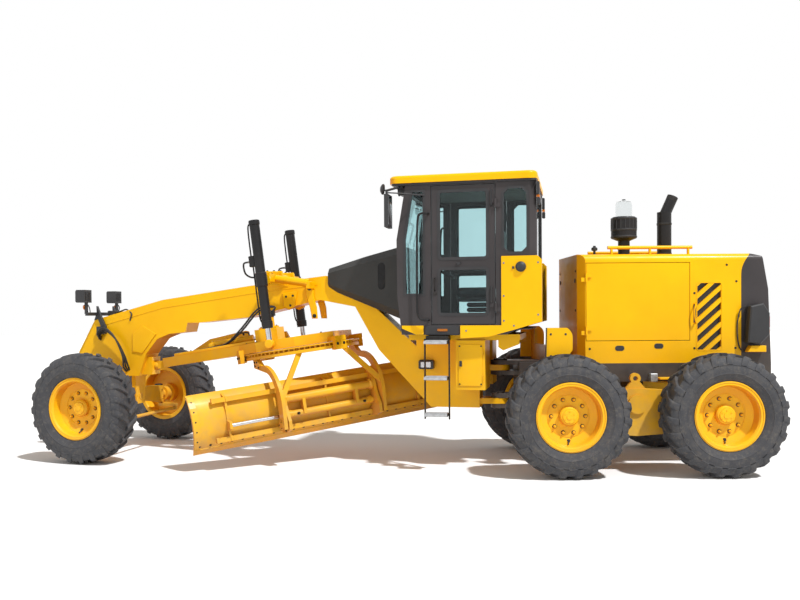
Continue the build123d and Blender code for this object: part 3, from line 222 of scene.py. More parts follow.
def make_rubber():
    s = Shader("tyre_rubber")
    wear = s.noise(7.0, 8.0, 0.65)
    base = s.ramp(wear, (0.3, srgb(44, 45, 49)), (0.52, srgb(60, 61, 65)), (0.75, srgb(82, 80, 79)))
    dust = s.noise(26.0, 10.0, 0.75)
    s.colour(s.mix(s.grey(dust, 0.0, 0.55, (0.5, 0.78)), base, srgb(120, 112, 100)))
    s.rough(s.grey(wear, 0.62, 0.9))
    s.bump(s.noise(160.0, 6.0, 0.7), 0.35, 0.001)
    s.bump(s.noise(24.0, 4.0), 0.2, 0.003)
    return s.mat


rubber = make_rubber()


def hose_rubber_material():
    s = Shader("hose_rubber", Roughness=0.5)
    s.colour(s.ramp(s.noise(30.0), (0.3, srgb(24, 24, 25)), (0.7, srgb(40, 38, 38))))
    s.bump(s.noise(700.0, 2.0), 0.2, 0.0004)
    return s.mat


hose_rubber = hose_rubber_material()


def metal(name, colour, other, rough, grain=(1.0, 1.0, 1.0), metallic=1.0):
    s = Shader(name, Metallic=metallic)
    s.colour(s.ramp(s.noise(22.0, 8.0, 0.7), (0.3, colour), (0.7, other)))
    s.rough(s.grey(s.noise(60.0, 6.0, 0.6, grain), *rough))
    s.bump(s.noise(300.0, 4.0, 0.6, grain), 0.15, 0.0005)
    return s.mat


chrome = metal("chrome_rod", srgb(208, 210, 212), srgb(190, 192, 195), (0.08, 0.18))
steel = metal("worn_steel", srgb(150, 148, 144), srgb(112, 110, 108), (0.35, 0.6))
galvanised = metal("galvanised", srgb(196, 198, 200), srgb(158, 160, 162), (0.4, 0.62))
dark_steel = metal("dark_steel", srgb(70, 68, 66), srgb(48, 46, 44), (0.4, 0.65))
cast = metal("cast_iron", srgb(52, 50, 48), srgb(38, 36, 35), (0.6, 0.85), metallic=0.6)
mirror_face = metal("mirror_face", srgb(216, 220, 224), srgb(206, 210, 214), (0.02, 0.05))


def glass_like(name, colour, rough=0.02, transmission=1.0, ior=1.45):
    s = Shader(name, Transmission_Weight=transmission, IOR=ior)
    s.colour(s.ramp(s.noise(1.3, 2.0), (0.3, colour), (0.7, tuple(0.97 * c for c in colour[:3]))))
    s.rough(s.grey(s.noise(6.0), rough, rough * 2))
    s.bump(s.noise(1.5, 1.0), 0.02, 0.002)
    return s.mat


tinted = glass_like("tinted_glass", srgb(212, 236, 238), ior=1.3)
clear = glass_like("clear_plastic", srgb(244, 246, 246), 0.05, ior=1.12)
amber = glass_like("amber_lens", srgb(255, 150, 20), 0.15, 0.6)
red_lens = glass_like("red_lens", srgb(190, 20, 14), 0.15, 0.5)


def make_lamp_glass():
    """Ribbed lamp lens over a bright reflector."""
    s = Shader("lamp_lens", Transmission_Weight=0.25, Metallic=0.4)
    s.colour(s.ramp(s.noise(12.0), (0.3, srgb(232, 234, 236)), (0.7, srgb(206, 208, 212))))
    wave = s.node("TexWave", {"Vector": s.coord, "Scale": 60.0}, wave_type="BANDS", bands_direction="Z")
    s.rough(s.grey(s.noise(30.0), 0.08, 0.2))
    s.bump(wave.outputs["Fac"], 0.4, 0.001)
    return s.mat


lamp_glass = make_lamp_glass()


def make_fabric():
    s = Shader("seat_fabric", Roughness=0.85)
    weave = s.node("TexChecker", {"Vector": s.coord, "Scale": 260.0})
    s.colour(s.ramp(s.noise(8.0), (0.35, srgb(46, 47, 50)), (0.7, srgb(60, 61, 64))))
    s.bump(weave.outputs["Fac"], 0.3, 0.0006)
    return s.mat


fabric = make_fabric()

# ============ the CAD nodes' own materials ============
NODE_MATERIALS = (
    ("rear_rim front_rim front_frame side_boxes lift_yoke cab_roof", yellow),
    ("rear_tyre front_tyre", rubber),
    ("rear_frame hood_tail", dark),
    ("engine_block", cast),
    ("hood hood_door fenders hood_rails cab_panels", yellow),
    ("exhaust_stack air_precleaner", black),
    ("front_cover", cover_grey),
    ("cab_frame cab_door", dark),
    ("cab_glass cab_door_glass", tinted),
    ("seat", fabric),
    ("console mirrors headlamps", black_plastic),
    ("ladders", dark_steel),
    ("rear_axle tandem_case front_axle knuckle tie_rod drawbar circle blade_carrier", yellow_low),
    ("moldboard cutting_edge", yellow_low),
    ("lift_barrel", black),
    ("lift_rod", chrome),
)


def material_for(node):
    """The material of the longest name that the node's name starts with."""
    best = ("", None)
    for names, mat in NODE_MATERIALS:
        for start in names.split():
            if node.startswith(start) and len(start) > len(best[0]):
                best = (start, mat)
    return best[1]


for node_name, node_object in frame["nodes"].items():
    node_object.data.materials.clear()
    node_object.data.materials.append(material_for(node_name))

# ============ building pieces ============
def inset(points, cut):
    """The outline moved inward by cut, corner by corner."""
    area = sum(a[0] * b[1] - b[0] * a[1] for a, b in zip(points, points[1:] + points[:1]))
    cut = cut if area > 0 else -cut
    out = []
    for i, here in enumerate(points):
        before, after = Vector(points[i - 1]), Vector(points[(i + 1) % len(points)])
        here = Vector(here)
        a, b = (here - before).normalized(), (after - here).normalized()
        m, n = Vector((-a.y, a.x)), Vector((-b.y, b.x))
        out.append(tuple(here + cut * (m + n) / max(1 + m.dot(n), 0.3)))
    return out


def rounded(u0, v0, u1, v1, r, steps=4):
    """Rectangle with rounded corners."""
    out = []
    corners = ((u1 - r, v1 - r), (u0 + r, v1 - r), (u0 + r, v0 + r), (u1 - r, v0 + r))
    for start, (cu, cv) in enumerate(corners):
        for k in range(steps + 1):
            a = pi / 2 * (start + k / steps)
            out.append((cu + r * cos(a), cv + r * sin(a)))
    return out


def centred(u, v, half_u, half_v, r, steps=4):
    """Rounded rectangle round a centre."""
    return rounded(u - half_u, v - half_v, u + half_u, v + half_v, r, steps)


def through(points, steps):
    """A soft curve through the points."""
    p = [points[0]] + list(points) + [points[-1]]
    out = []
    for i in range(1, len(p) - 2):
        for k in range(steps):
            t = k / steps
            out.append(
                0.5 * (2 * p[i] + (p[i + 1] - p[i - 1]) * t
                       + (2 * p[i - 1] - 5 * p[i] + 4 * p[i + 1] - p[i + 2]) * t ** 2
                       + (3 * p[i] - p[i - 1] - 3 * p[i + 1] + p[i + 2]) * t ** 3)
            )
    return out + [points[-1]]


CREASE = radians(34)  # edges that bend more stay sharp
OUT = (0, 1, 0)  # away from the machine's middle, on the left side
AHEAD = (1, 0, 0)
FRAMES = {"rear": REAR, "front": FRONT, "drawbar": DRAWBAR, "circle": CIRCLE, "blade": CIRCLE,
          "blade_carrier": CIRCLE, "cab_door_left": FRONT, "cab_door_right": FRONT}
# the slot of a piece of each material, where it fills one
SLOTS = {name: name for name in "yellow_paint black_plastic black_paint chrome_rod tyre_rubber".split()}
SLOTS |= {"yellow_worn": "yellow_paint", "cover_grey": "dark_paint", "dark_steel": "steel",
          "worn_steel": "steel"}


class Piece:
    """A visual piece gathered from small solids, in metres, in its body's local frame."""

    def __init__(self, name, body, material, at=None, side=1, slot=None):
        self.name, self.body, self.material = name, body, material
        self.at = FRAMES[body] if at is None else at
        self.side = side  # -1 puts what is given for the left side on the right
        self.slot = slot or SLOTS.get(material.name.split(".")[0])
        self.bm = bmesh.new()

    def own(self, point):
        """A point or direction given for the left side, on the side being built."""
        return Vector((point[0], self.side * point[1], point[2]))

    def skin(self, rings, loop=False):
        """Join rings with as many points each; open ends are capped."""
        made = [[self.bm.verts.new(p) for p in ring] for ring in rings]
        count = len(made[0])
        for a, b in list(zip(made, made[1:])) + ([(made[-1], made[0])] if loop else []):
            for i in range(count):
                j = (i + 1) % count
                self.bm.faces.new((a[i], a[j], b[j], b[i]))
        if not loop:
            self.bm.faces.new(made[0][::-1])
            self.bm.faces.new(made[-1])

    def flat(self, points, height, axis):
        """Points seen along an axis, put at a height along it."""
        order = {"x": lambda u, v: (height, u, v), "y": lambda u, v: (u, height, v),
                 "z": lambda u, v: (u, v, height)}[axis]
        return [self.own(order(u, v)) for u, v in points]

    def prism(self, outline, axis, low, high, cut=0.003):
        """A flat shape pushed along an axis, with its edges cut back."""
        low, high = min(low, high), max(low, high)
        cut = min(cut, (high - low) / 3)
        inner = inset(list(outline), cut)
        self.skin([self.flat(inner, low, axis), self.flat(outline, low + cut, axis),
                   self.flat(outline, high - cut, axis), self.flat(inner, high, axis)])

    def plate(self, outline, y, thick, cut=0.003):
        """A plate seen from the side, standing out from y."""
        self.prism(outline, "y", y, y + thick, cut)

    def box(self, low, high, cut=0.003):
        """A block between two corners, with its edges cut back."""
        (x0, x1), (y0, y1), (z0, z1) = (sorted(pair) for pair in zip(low, high))
        cut = min(cut, (x1 - x0) / 3, (y1 - y0) / 3)
        self.prism([(x0, y0), (x1, y0), (x1, y1), (x0, y1)], "z", z0, z1, cut)

    def rim(self, outline, width, axis, low, high):
        """A band of that width inside an outline, such as a seal round a pane."""
        inner = inset(list(outline), width)
        self.skin([self.flat(outline, low, axis), self.flat(outline, high, axis),
                   self.flat(inner, high, axis), self.flat(inner, low, axis)], loop=True)

    def lathe(self, profile, at, along, steps=24, loop=False):
        """A turned shape; profile holds (distance along the axis, radius)."""
        at, along = self.own(at), self.own(along).normalized()
        a = along.orthogonal().normalized()
        b = along.cross(a)
        turns = [2 * pi * k / steps for k in range(steps)]
        self.skin([[at + h * along + r * (cos(t) * a + sin(t) * b) for t in turns]
                   for h, r in profile], loop)

    def tube(self, path, radius, sides=10, soft=0):
        """A round bar or hose along a path; soft rounds the path's corners."""
        points = [self.own(p) for p in path]
        points = through(points, soft) if soft else points
        rings, side = [], None
        for i, here in enumerate(points):
            ahead = (points[min(i + 1, len(points) - 1)] - points[max(i - 1, 0)]).normalized()
            side = ahead.orthogonal() if side is None else side
            side = (side - ahead * side.dot(ahead)).normalized()
            other = ahead.cross(side)
            turns = [2 * pi * k / sides for k in range(sides)]
            rings.append([here + radius * (cos(t) * side + sin(t) * other) for t in turns])
        self.skin(rings)

    def bolt(self, at, along, r=0.009, h=0.008):
        """A hexagon head on a washer."""
        self.lathe([(-0.001, 1.5 * r), (0.25 * h, 1.5 * r)], at, along, 12)
        self.lathe([(0, r), (0.8 * h, r), (h, 0.8 * r)], at, along, 6)

    def bolts(self, spots, y, r, h):
        """Bolts at (X, Z) spots of a side face."""
        for x, z in spots:
            self.bolt((x, y, z), OUT, r, h)

    def bolt_ring(self, centre, radius, count, turn, along, r, h):
        """Bolts round a centre; turn is the first one's place, in steps."""
        u, v = (0, 1) if along[2] else (0, 2)
        for k in range(count):
            a = 2 * pi * (k + turn) / count
            spot = Vector(centre)
            spot[u] += radius * cos(a)
            spot[v] += radius * sin(a)
            self.bolt(spot, along, r, h)

    def done(self, *stands_for):
        bmesh.ops.recalc_face_normals(self.bm, faces=self.bm.faces)
        for face in self.bm.faces:
            face.smooth = True
        for edge in self.bm.edges:
            edge.smooth = len(edge.link_faces) == 2 and edge.calc_face_angle(0) < CREASE
        mesh = bpy.data.meshes.new(self.name)
        self.bm.to_mesh(mesh)
        self.bm.free()
        mesh.transform(self.at)
        mesh.materials.append(self.material)
        made = bpy.data.objects.new(self.name, mesh)
        scene.collection.objects.link(made)
        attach(made, self.body)
        if stands_for:
            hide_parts(*stands_for)
        return made


def both_sides(*pieces):
    """Left, then right; what the pieces get in the loop is given for the left side."""
    for side in (1, -1):
        for piece in pieces:
            piece.side = side
        yield side
    for piece in pieces:
        piece.side = 1


def done(*pieces):
    for piece in pieces:
        piece.done()


# ============ wheels ============
# the tyre's crown over the lugs and its half section, as (Y, radius)
CROWN = ((0.0, 0.606), (0.12, 0.601), (0.155, 0.592), (0.176, 0.562), (0.188, 0.532), (0.1925, 0.505))
CARCASS = (
    (0.0, 0.577), (0.06, 0.577), (0.12, 0.574), (0.155, 0.567), (0.174, 0.545), (0.184, 0.522),
    (0.1885, 0.506), (0.1925, 0.503), (0.1925, 0.497), (0.1895, 0.494), (0.1955, 0.47),
    (0.1985, 0.445), (0.1965, 0.424), (0.1985, 0.421), (0.1985, 0.416), (0.194, 0.412),
    (0.186, 0.386), (0.176, 0.366), (0.172, 0.36), (0.168, 0.352), (0.158, 0.345), (0.154, 0.3056),
)
LUGS = 23
BOLT_CIRCLE = 0.1675  # radius at which the wheel nuts sit


def crown(y):
    """Radius over the lugs at a distance from the tyre's middle."""
    for (y0, r0), (y1, r1) in zip(CROWN, CROWN[1:]):
        if y <= y1:
            return r0 + (r1 - r0) * (y - y0) / (y1 - y0)
    return CROWN[-1][1]


def around(angle, r, y):
    return (r * sin(angle), y, r * cos(angle))


def make_tyre(name, body, at):
    """Carcass with two staggered rows of slanting lugs that run out over the shoulders."""
    tyre = Piece(f"{name}_tread", body, rubber, at)
    section = list(CARCASS) + [(-y, r) for y, r in CARCASS[:0:-1]]
    tyre.lathe(section, (0, 0, 0), OUT, 96, loop=True)
    for row in (1, -1):
        for k in range(LUGS):
            start = 2 * pi * (k + (0.25 if row > 0 else 0.75)) / LUGS
            rings = []
            for t in (0.0, 0.25, 0.5, 0.7, 0.82, 0.9, 0.96, 1.0):
                y = 0.006 + 0.1865 * t
                middle = start + 0.03 + 0.2 * t ** 0.85
                top, half = crown(y), (0.021 + 0.012 * t) / 0.6
                base = top - 0.032
                rings.append([around(middle - 1.25 * half, base, row * y),
                              around(middle - half, top - 0.004, row * y),
                              around(middle - 0.85 * half, top, row * y),
                              around(middle + 0.85 * half, top, row * y),
                              around(middle + half, top - 0.004, row * y),
                              around(middle + 1.25 * half, base, row * y)])
            tyre.skin(rings)
    tyre.done(name)


def make_wheel_fittings(body, at, side):
    """Nuts on the bolt circle, lock ring, hub cap and valve of one wheel."""
    nuts = Piece(f"{body}_nuts", body, yellow, at, side)
    # real washers, kept dark as painted shade round each nut
    washers_painted_shade = Piece(f"{body}_washers", body, dark_steel, at, side)
    for k in range(10):
        spot = around(2 * pi * (k + 0.5) / 10, BOLT_CIRCLE, 0.029)
        washers_painted_shade.lathe([(0, 0.021), (0.004, 0.021), (0.005, 0.019)], spot, OUT, 16)
        nuts.lathe([(0.004, 0.0155), (0.02, 0.0155), (0.024, 0.013)], spot, OUT, 6)
        nuts.lathe([(0.022, 0.008), (0.034, 0.008), (0.036, 0.006)], spot, OUT, 10)
    done(nuts, washers_painted_shade)
    ring = Piece(f"{body}_hub_cap", body, yellow, at, side)
    ring.lathe([(0.163, 0.322), (0.169, 0.324), (0.171, 0.328), (0.169, 0.332), (0.163, 0.334)],
               (0, 0, 0), OUT, 72, loop=True)
    ring.lathe([(0.084, 0.068), (0.092, 0.068), (0.096, 0.064), (0.097, 0.03), (0.102, 0.028)],
               (0, 0, 0), OUT, 36)
    ring.bolt_ring((0, 0.096, 0), 0.05, 6, 0.5, OUT, 0.006, 0.006)
    ring.lathe([(0.0285, 0.205), (0.033, 0.205), (0.033, 0.2), (0.0285, 0.2)],
               (0, 0, 0), OUT, 60, loop=True)
    ring.done()
    valve = Piece(f"{body}_valve", body, black_plastic, at, side)
    low = around(pi, 0.243, 0.03)
    valve.lathe([(0.0, 0.02), (0.01, 0.02), (0.012, 0.012), (0.026, 0.012)], low, OUT, 12)
    valve.tube([around(pi, 0.25, 0.045), around(pi - 0.03, 0.262, 0.07),
                around(pi - 0.05, 0.272, 0.08)], 0.006, 8)
    valve.done()


for side_name, side in SIDES:
    for body in (f"rear_wheel_{side_name}_front", f"rear_wheel_{side_name}_back",
                 f"front_wheel_{side_name}"):
        at = hub_frame(body + "_turn")
        make_tyre(body.replace("wheel", "tyre"), body, at)
        make_wheel_fittings(body, at, side)


# ============ rear tractor ============
HOOD = 0.48  # side faces of the hood
CASE = 0.7  # outer faces of the tandem cases
AXLE = (REAR.inverted() @ (joint_pos("rear_wheel_left_front_turn")
                           + joint_pos("rear_wheel_left_back_turn")) / 2).xz

dark_bits = Piece("hood_dark_fittings", "rear", black_plastic)
hood_bolts = Piece("hood_bolts", "rear", dark_steel)
hood_trim = Piece("hood_trim", "rear", yellow)
for _ in both_sides(dark_bits, hood_trim, hood_bolts):
    # latches under the engine doors, mesh behind the louvres and the lip round them
    dark_bits.box((-2.23, 0.444, 1.19), (-1.95, 0.4485, 1.94), 0.001)
    for x, z in ((-1.16, 1.245), (-1.565, 1.265)):
        dark_bits.plate(centred(x, z, 0.048, 0.027, 0.026), HOOD, 0.003, 0.001)
    hood_trim.rim(rounded(-2.222, 1.213, -1.954, 1.923, 0.03), 0.008, "y", HOOD, HOOD + 0.003)
    # door handle beside the door's rear edge
    hood_trim.tube([(-1.935, HOOD, 1.7), (-1.935, HOOD + 0.035, 1.69), (-1.921, HOOD + 0.04, 1.64),
                    (-1.921, HOOD + 0.04, 1.57), (-1.935, HOOD + 0.035, 1.51),
                    (-1.935, HOOD, 1.5)], 0.008, 8, 3)
    dark_bits.plate(rounded(-1.95, 1.5, -1.925, 1.7, 0.01), HOOD, 0.002, 0.001)
    hood_bolts.bolts(((-1.935, 1.81), (-1.935, 1.24), (-2.36, 1.24), (-2.37, 1.93), (-0.85, 1.24),
                      (-2.27, 2.1)), HOOD, 0.008, 0.006)
    # work lamp with its cable at the rear corner, over a yellow step bracket
    lamp = [(-2.44, 1.3), (-2.47, 1.67), (-2.6, 1.7), (-2.665, 1.6), (-2.665, 1.38), (-2.57, 1.28)]
    dark_bits.plate(lamp, HOOD, 0.12, 0.012)
    dark_bits.tube([(-2.45, HOOD + 0.05, 1.67), (-2.4, HOOD + 0.03, 1.64), (-2.375, HOOD + 0.012, 1.5),
                    (-2.375, HOOD + 0.012, 1.36), (-2.4, HOOD + 0.012, 1.24),
                    (-2.45, HOOD + 0.012, 1.2)], 0.007, 8, 4)
    hood_trim.plate([(-2.45, 1.2), (-2.49, 1.265), (-2.64, 1.265), (-2.64, 1.2)], HOOD, 0.09, 0.004)
    # deck edge over the tandem
    hood_trim.box((-1.74, HOOD, 0.925), (-1.54, 0.6, 0.945), 0.004)
    # bolts and plugs in the front face
    for z in (2.05, 1.64):
        hood_bolts.bolt((-0.735, 0.36, z), AHEAD, 0.009, 0.007)
    dark_bits.lathe([(0, 0.024), (0.004, 0.024), (0.006, 0.02)], (-0.735, 0.3384, 1.95), AHEAD, 20)
# filler neck on the hood
dark_bits.lathe([(0, 0.013), (0.05, 0.013), (0.055, 0.03), (0.07, 0.033), (0.085, 0.03), (0.09, 0.016),
                 (0.105, 0.014)], (-0.97, 0.22, 2.219), UP, 20)
# rear face: grille slats and a locking bar
dark_bits.box((-2.7, -0.36, 1.2), (-2.7285, 0.36, 1.235), 0.004)
for k in range(11):
    z = 1.26 + 0.05 * k
    x = -2.7285 + (z - 1.2) * 0.035
    slat = [(-2.69, z), (x, z + 0.004), (x, z + 0.014), (-2.69, z + 0.03)]
    dark_bits.prism(slat, "y", -0.34, 0.34, 0.001)
hood_bolts.tube([(-2.7, 0.4, 1.5), (-2.722, 0.4, 1.53), (-2.722, 0.4, 1.67), (-2.7, 0.4, 1.7)], 0.007, 8)
done(dark_bits, hood_bolts, hood_trim)

tail_lamps = Piece("tail_lamps", "rear", red_lens)
indicators = Piece("tail_indicators", "rear", amber)
junctions = Piece("junction_boxes", "rear", galvanised)
for _ in both_sides(tail_lamps, indicators, junctions):
    tail_lamps.prism(centred(0.56, 1.51, 0.03, 0.06, 0.01), "x", -2.668, -2.655, 0.003)
    indicators.prism(centred(0.56, 1.41, 0.03, 0.025, 0.01), "x", -2.668, -2.655, 0.003)
    junctions.box((-1.53, 0.48, 0.9), (-1.46, 0.55, 0.985), 0.006)
done(tail_lamps, indicators, junctions)

# on the hood: exhaust stack and precleaner
STACK_X, CLEANER_X = -1.79, -1.35
stack = Piece("exhaust_bands", "rear", dark_steel, slot="black_paint")
for z in (2.235, 2.56):
    stack.lathe([(0, 0.0755), (0.003, 0.079), (0.022, 0.079), (0.025, 0.0755)], (STACK_X, 0, z), UP, 40)
tip = Vector((-0.45, 0, 1)).normalized()
mouth = Vector((STACK_X, 0, 2.66)) + 0.2295 * tip
stack.lathe([(0.001, 0.0585), (0.001, 0.052), (-0.05, 0.05), (-0.05, 0.0585)], mouth, tip, 36, loop=True)
stack.done()
bore = Piece("exhaust_bore", "rear", black)
bore.lathe([(-0.002, 0.0515), (0.0015, 0.0515)], mouth, tip, 32)
bore.done()

cleaner = Piece("precleaner_bands", "rear", black_plastic)
for z in (2.425, 2.5, 2.62):
    cleaner.lathe([(0, 0.1355), (0.004, 0.139), (0.016, 0.139), (0.02, 0.1355)], (CLEANER_X, 0, z), UP, 48)
for k in range(18):
    rib = Vector((CLEANER_X + 0.134 * cos(2 * pi * k / 18), 0.134 * sin(2 * pi * k / 18), 2.57))
    cleaner.box(rib - Vector((0.004, 0.004, 0.05)), rib + Vector((0.004, 0.004, 0.05)), 0.001)
cleaner.lathe([(0, 0.02), (0.01, 0.02), (0.014, 0.014)], (CLEANER_X, 0, 2.83), UP, 20)
cleaner.lathe([(0, 0.067), (0.006, 0.071), (0.03, 0.071), (0.036, 0.067)], (CLEANER_X, 0, 2.3), UP, 36)
cleaner.done()
bowl = Piece("precleaner_bowl", "rear", clear)
bowl.lathe([(0, 0.085), (0.13, 0.088), (0.165, 0.075), (0.18, 0.03), (0.177, 0.028), (0.162, 0.07),
            (0.13, 0.084), (0.004, 0.081)], (CLEANER_X, 0, 2.65), UP, 40, loop=True)
bowl.done()

# tandem cases: cover bolts, breather and inspection plates
tandem = Piece("tandem_fittings", "rear", yellow_low)
tandem_bolts = Piece("tandem_bolts", "rear", dark_steel)
for _ in both_sides(tandem, tandem_bolts):
    x0, z0 = AXLE
    hub = (x0, CASE + 0.025, z0 + 0.08)
    tandem.lathe([(0, 0.055), (0.012, 0.053), (0.018, 0.03), (0.03, 0.028), (0.034, 0.018)], hub, OUT, 36)
    tandem.lathe([(-0.024, 0.118), (-0.012, 0.118), (-0.009, 0.113), (-0.009, 0.094), (-0.024, 0.094)],
                 hub, OUT, 48, loop=True)
    tandem_bolts.bolt_ring(hub, 0.078, 10, 0.5, OUT, 0.008, 0.008)
    tandem_bolts.bolts([(x0 + 0.06 * k, z0 + 0.215) for k in range(-2, 3)], CASE, 0.007, 0.007)
    for x in (-0.33, 0.33):
        tandem.plate(centred(x0 + x, z0, 0.07, 0.11, 0.03), CASE, 0.006, 0.002)
        corners = [(x0 + x + u, z0 + v) for u in (-0.055, 0.055) for v in (-0.095, 0.095)]
        tandem_bolts.bolts(corners, CASE + 0.006, 0.006, 0.006)
done(tandem, tandem_bolts)

# fenders: grab bar and bolts
fender_trim = Piece("fender_trim", "rear", black_plastic)
for _ in both_sides(fender_trim):
    fender_trim.tube([(-0.345, 0.707, 1.12), (-0.355, 0.707, 1.465)], 0.007, 8)
    fender_trim.bolts(((-0.4, 1.4), (-0.55, 1.4), (-0.4, 1.18)), 0.7, 0.008, 0.006)
fender_trim.done()

# ============ cab ============
CAB = 0.7  # side faces of the cab
seals = Piece("cab_seals", "front", black_plastic)
cab_black = Piece("cab_dark_fittings", "front", black_plastic)
cab_bolts = Piece("cab_bolts", "front", steel)
rails = Piece("cab_handrails", "front", black)
REAR_WINDOW = [(-0.29, 2.21), (-0.14, 2.21), (-0.08, 2.27), (-0.08, 2.83), (-0.14, 2.89), (-0.29, 2.89),
               (-0.35, 2.83), (-0.35, 2.27)]
QUARTER = [(0.7, 1.8), (0.925, 1.8), (0.93, 2.38), (0.85, 2.89), (0.7, 2.89)]
for _ in both_sides(seals, cab_black, cab_bolts, rails):
    for outline in (REAR_WINDOW, QUARTER):
        seals.rim(outline, 0.024, "y", CAB - 0.03, CAB + 0.003)
    # filler cap and its lock, in the yellow rear panel
    panel = CAB + 0.012
    cab_black.lathe([(0, 0.052), (0.012, 0.052), (0.02, 0.046), (0.03, 0.03), (0.034, 0.014)],
                    (-0.27, panel, 2.08), OUT, 32)
    cab_black.box((-0.205, panel, 2.06), (-0.185, panel + 0.012, 2.085), 0.003)
    cab_bolts.bolts(((-0.1, 2.12), (-0.1, 1.79), (-0.44, 2.12), (-0.44, 1.6), (-0.1, 1.54), (-0.2, 1.49),
                     (0.28, 1.44)), panel, 0.007, 0.005)
    # step box under the door
    cab_black.box((0.355, 0.6, 1.395), (0.7, panel, 1.492), 0.006)
    # long handrail ahead of the door, and its feet
    y = CAB + 0.055
    rails.tube([(0.665, CAB, 2.64), (0.67, y, 2.64), (0.74, y, 2.635), (0.765, y, 2.58), (0.775, y, 2.3),
                (0.775, y, 1.7), (0.765, y, 1.6), (0.73, y, 1.555), (0.67, y, 1.55), (0.665, CAB, 1.55)],
               0.012, 10, 3)
    # lamp housings at the rear corner
    cab_black.box((-0.425, 0.6, 2.8), (-0.455, 0.68, 2.93), 0.006)
    cab_black.box((-0.425, 0.61, 2.7), (-0.46, 0.67, 2.77), 0.006)
    # work lamps under the front of the roof
    cab_black.box((0.9, 0.42, 2.86), (1.0, 0.58, 2.957), 0.012)
    cab_black.lathe([(0, 0.05), (0.015, 0.052)], (1.0, 0.5, 2.91), AHEAD, 28)
    # wiper on the windscreen
    rails.tube([(0.985, 0.1, 1.84), (1.012, 0.16, 2.1), (1.008, 0.3, 2.42)], 0.006, 8)
    rails.tube([(0.99, 0.17, 2.16), (1.014, 0.3, 2.42), (0.965, 0.4, 2.7)], 0.005, 8)
# dark gutter under the roof, all round
cab_black.rim([(-0.425, -0.715), (1.04, -0.715), (1.04, 0.715), (-0.425, 0.715)], 0.05, "z", 2.938, 2.959)
# lower rim of the windscreen and the rear window
cab_black.box((0.985, -0.6, 1.775), (1.0, 0.6, 1.8), 0.004)
seals.rim(rounded(-0.56, 1.94, 0.56, 2.86, 0.03), 0.018, "x", -0.424, -0.4)
done(seals, cab_black, cab_bolts, rails)

reflectors = Piece("step_reflectors", "front", amber)
lamps = Piece("cab_lamp_lenses", "front", lamp_glass)
rear_amber = Piece("cab_rear_indicators", "front", amber)
for _ in both_sides(reflectors, lamps, rear_amber):
    reflectors.plate(rounded(0.47, 1.435, 0.575, 1.46, 0.008), CAB + 0.012, 0.008, 0.002)
    lamps.lathe([(0, 0.046), (0.004, 0.044), (0.006, 0.02)], (1.0145, 0.5, 2.91), AHEAD, 28)
    rear_amber.box((-0.425, 0.615, 2.775), (-0.458, 0.665, 2.797), 0.004)
done(reflectors, lamps, rear_amber)

for side_name, side in SIDES:
    body = f"cab_door_{side_name}"
    door_seals = Piece(f"door_seals_{side_name}", body, black_plastic, side=side)
    for low, high in ((2.16, 2.88), (1.59, 2.09)):
        door_seals.rim(rounded(0.045, low, 0.575, high, 0.05), 0.032, "y", CAB - 0.012, CAB + 0.004)
    for z in (1.8, 2.78):
        door_seals.tube([(0.022, CAB, z + 0.085), (0.022, CAB + 0.02, z + 0.075),
                         (0.022, CAB + 0.02, z - 0.075), (0.022, CAB, z - 0.085)], 0.008, 8)
    door_seals.plate([(0.33, 2.135), (0.38, 2.135), (0.365, 2.105), (0.345, 2.105)], CAB, 0.025, 0.004)
    door_seals.rim([(-0.013, 1.507), (0.633, 1.507), (0.633, 2.918), (-0.013, 2.918)], 0.008, "y",
                   CAB - 0.03, CAB + 0.0015)
    door_seals.done()
    latch = Piece(f"door_latch_{side_name}", body, dark_steel, side=side)
    latch.tube([(0.6, CAB, 1.98), (0.6, CAB + 0.03, 1.97), (0.6, CAB + 0.03, 1.86),
                (0.6, CAB, 1.85)], 0.007, 8)
    latch.lathe([(0, 0.016), (0.008, 0.016), (0.01, 0.012)], (0.6, CAB, 1.82), OUT, 20)
    latch.done()

MIRROR = 0.93  # middle of a mirror
mirror_glass = Piece("mirror_glass", "front", mirror_face)
mirror_shell = Piece("mirror_fittings", "front", black_plastic)
for _ in both_sides(mirror_glass, mirror_shell):
    mirror_glass.prism(centred(MIRROR, 2.65, 0.085, 0.15, 0.03), "x", 1.0125, 1.0145, 0.0005)
    mirror_shell.prism(centred(MIRROR, 2.65, 0.098, 0.163, 0.035), "x", 1.0135, 1.02, 0.002)
    mirror_shell.tube([(1.05, MIRROR, 2.86), (1.08, MIRROR, 2.87)], 0.008, 8)
    mirror_shell.lathe([(-0.02, 0.03), (-0.005, 0.052), (0.008, 0.055), (0.012, 0.05)],
                       (1.09, MIRROR, 2.875), (-1, 0, -0.1), 28)
    mirror_shell.tube([(0.7, 0.7, 2.83), (0.95, 0.9, 2.835), (1.05, MIRROR, 2.84)], 0.007, 8)
done(mirror_glass, mirror_shell)

# inside: lining, seat, armrests, levers and pedals
inside = Piece("cab_lining", "front", cab_lining)
inside.box((-0.36, -0.64, 2.915), (0.84, 0.64, 2.938), 0.006)
inside.box((-0.36, -0.645, 1.452), (0.88, 0.645, 1.462), 0.004)
inside.box((-0.368, -0.64, 1.6), (-0.35, 0.64, 1.93), 0.006)
inside.done()


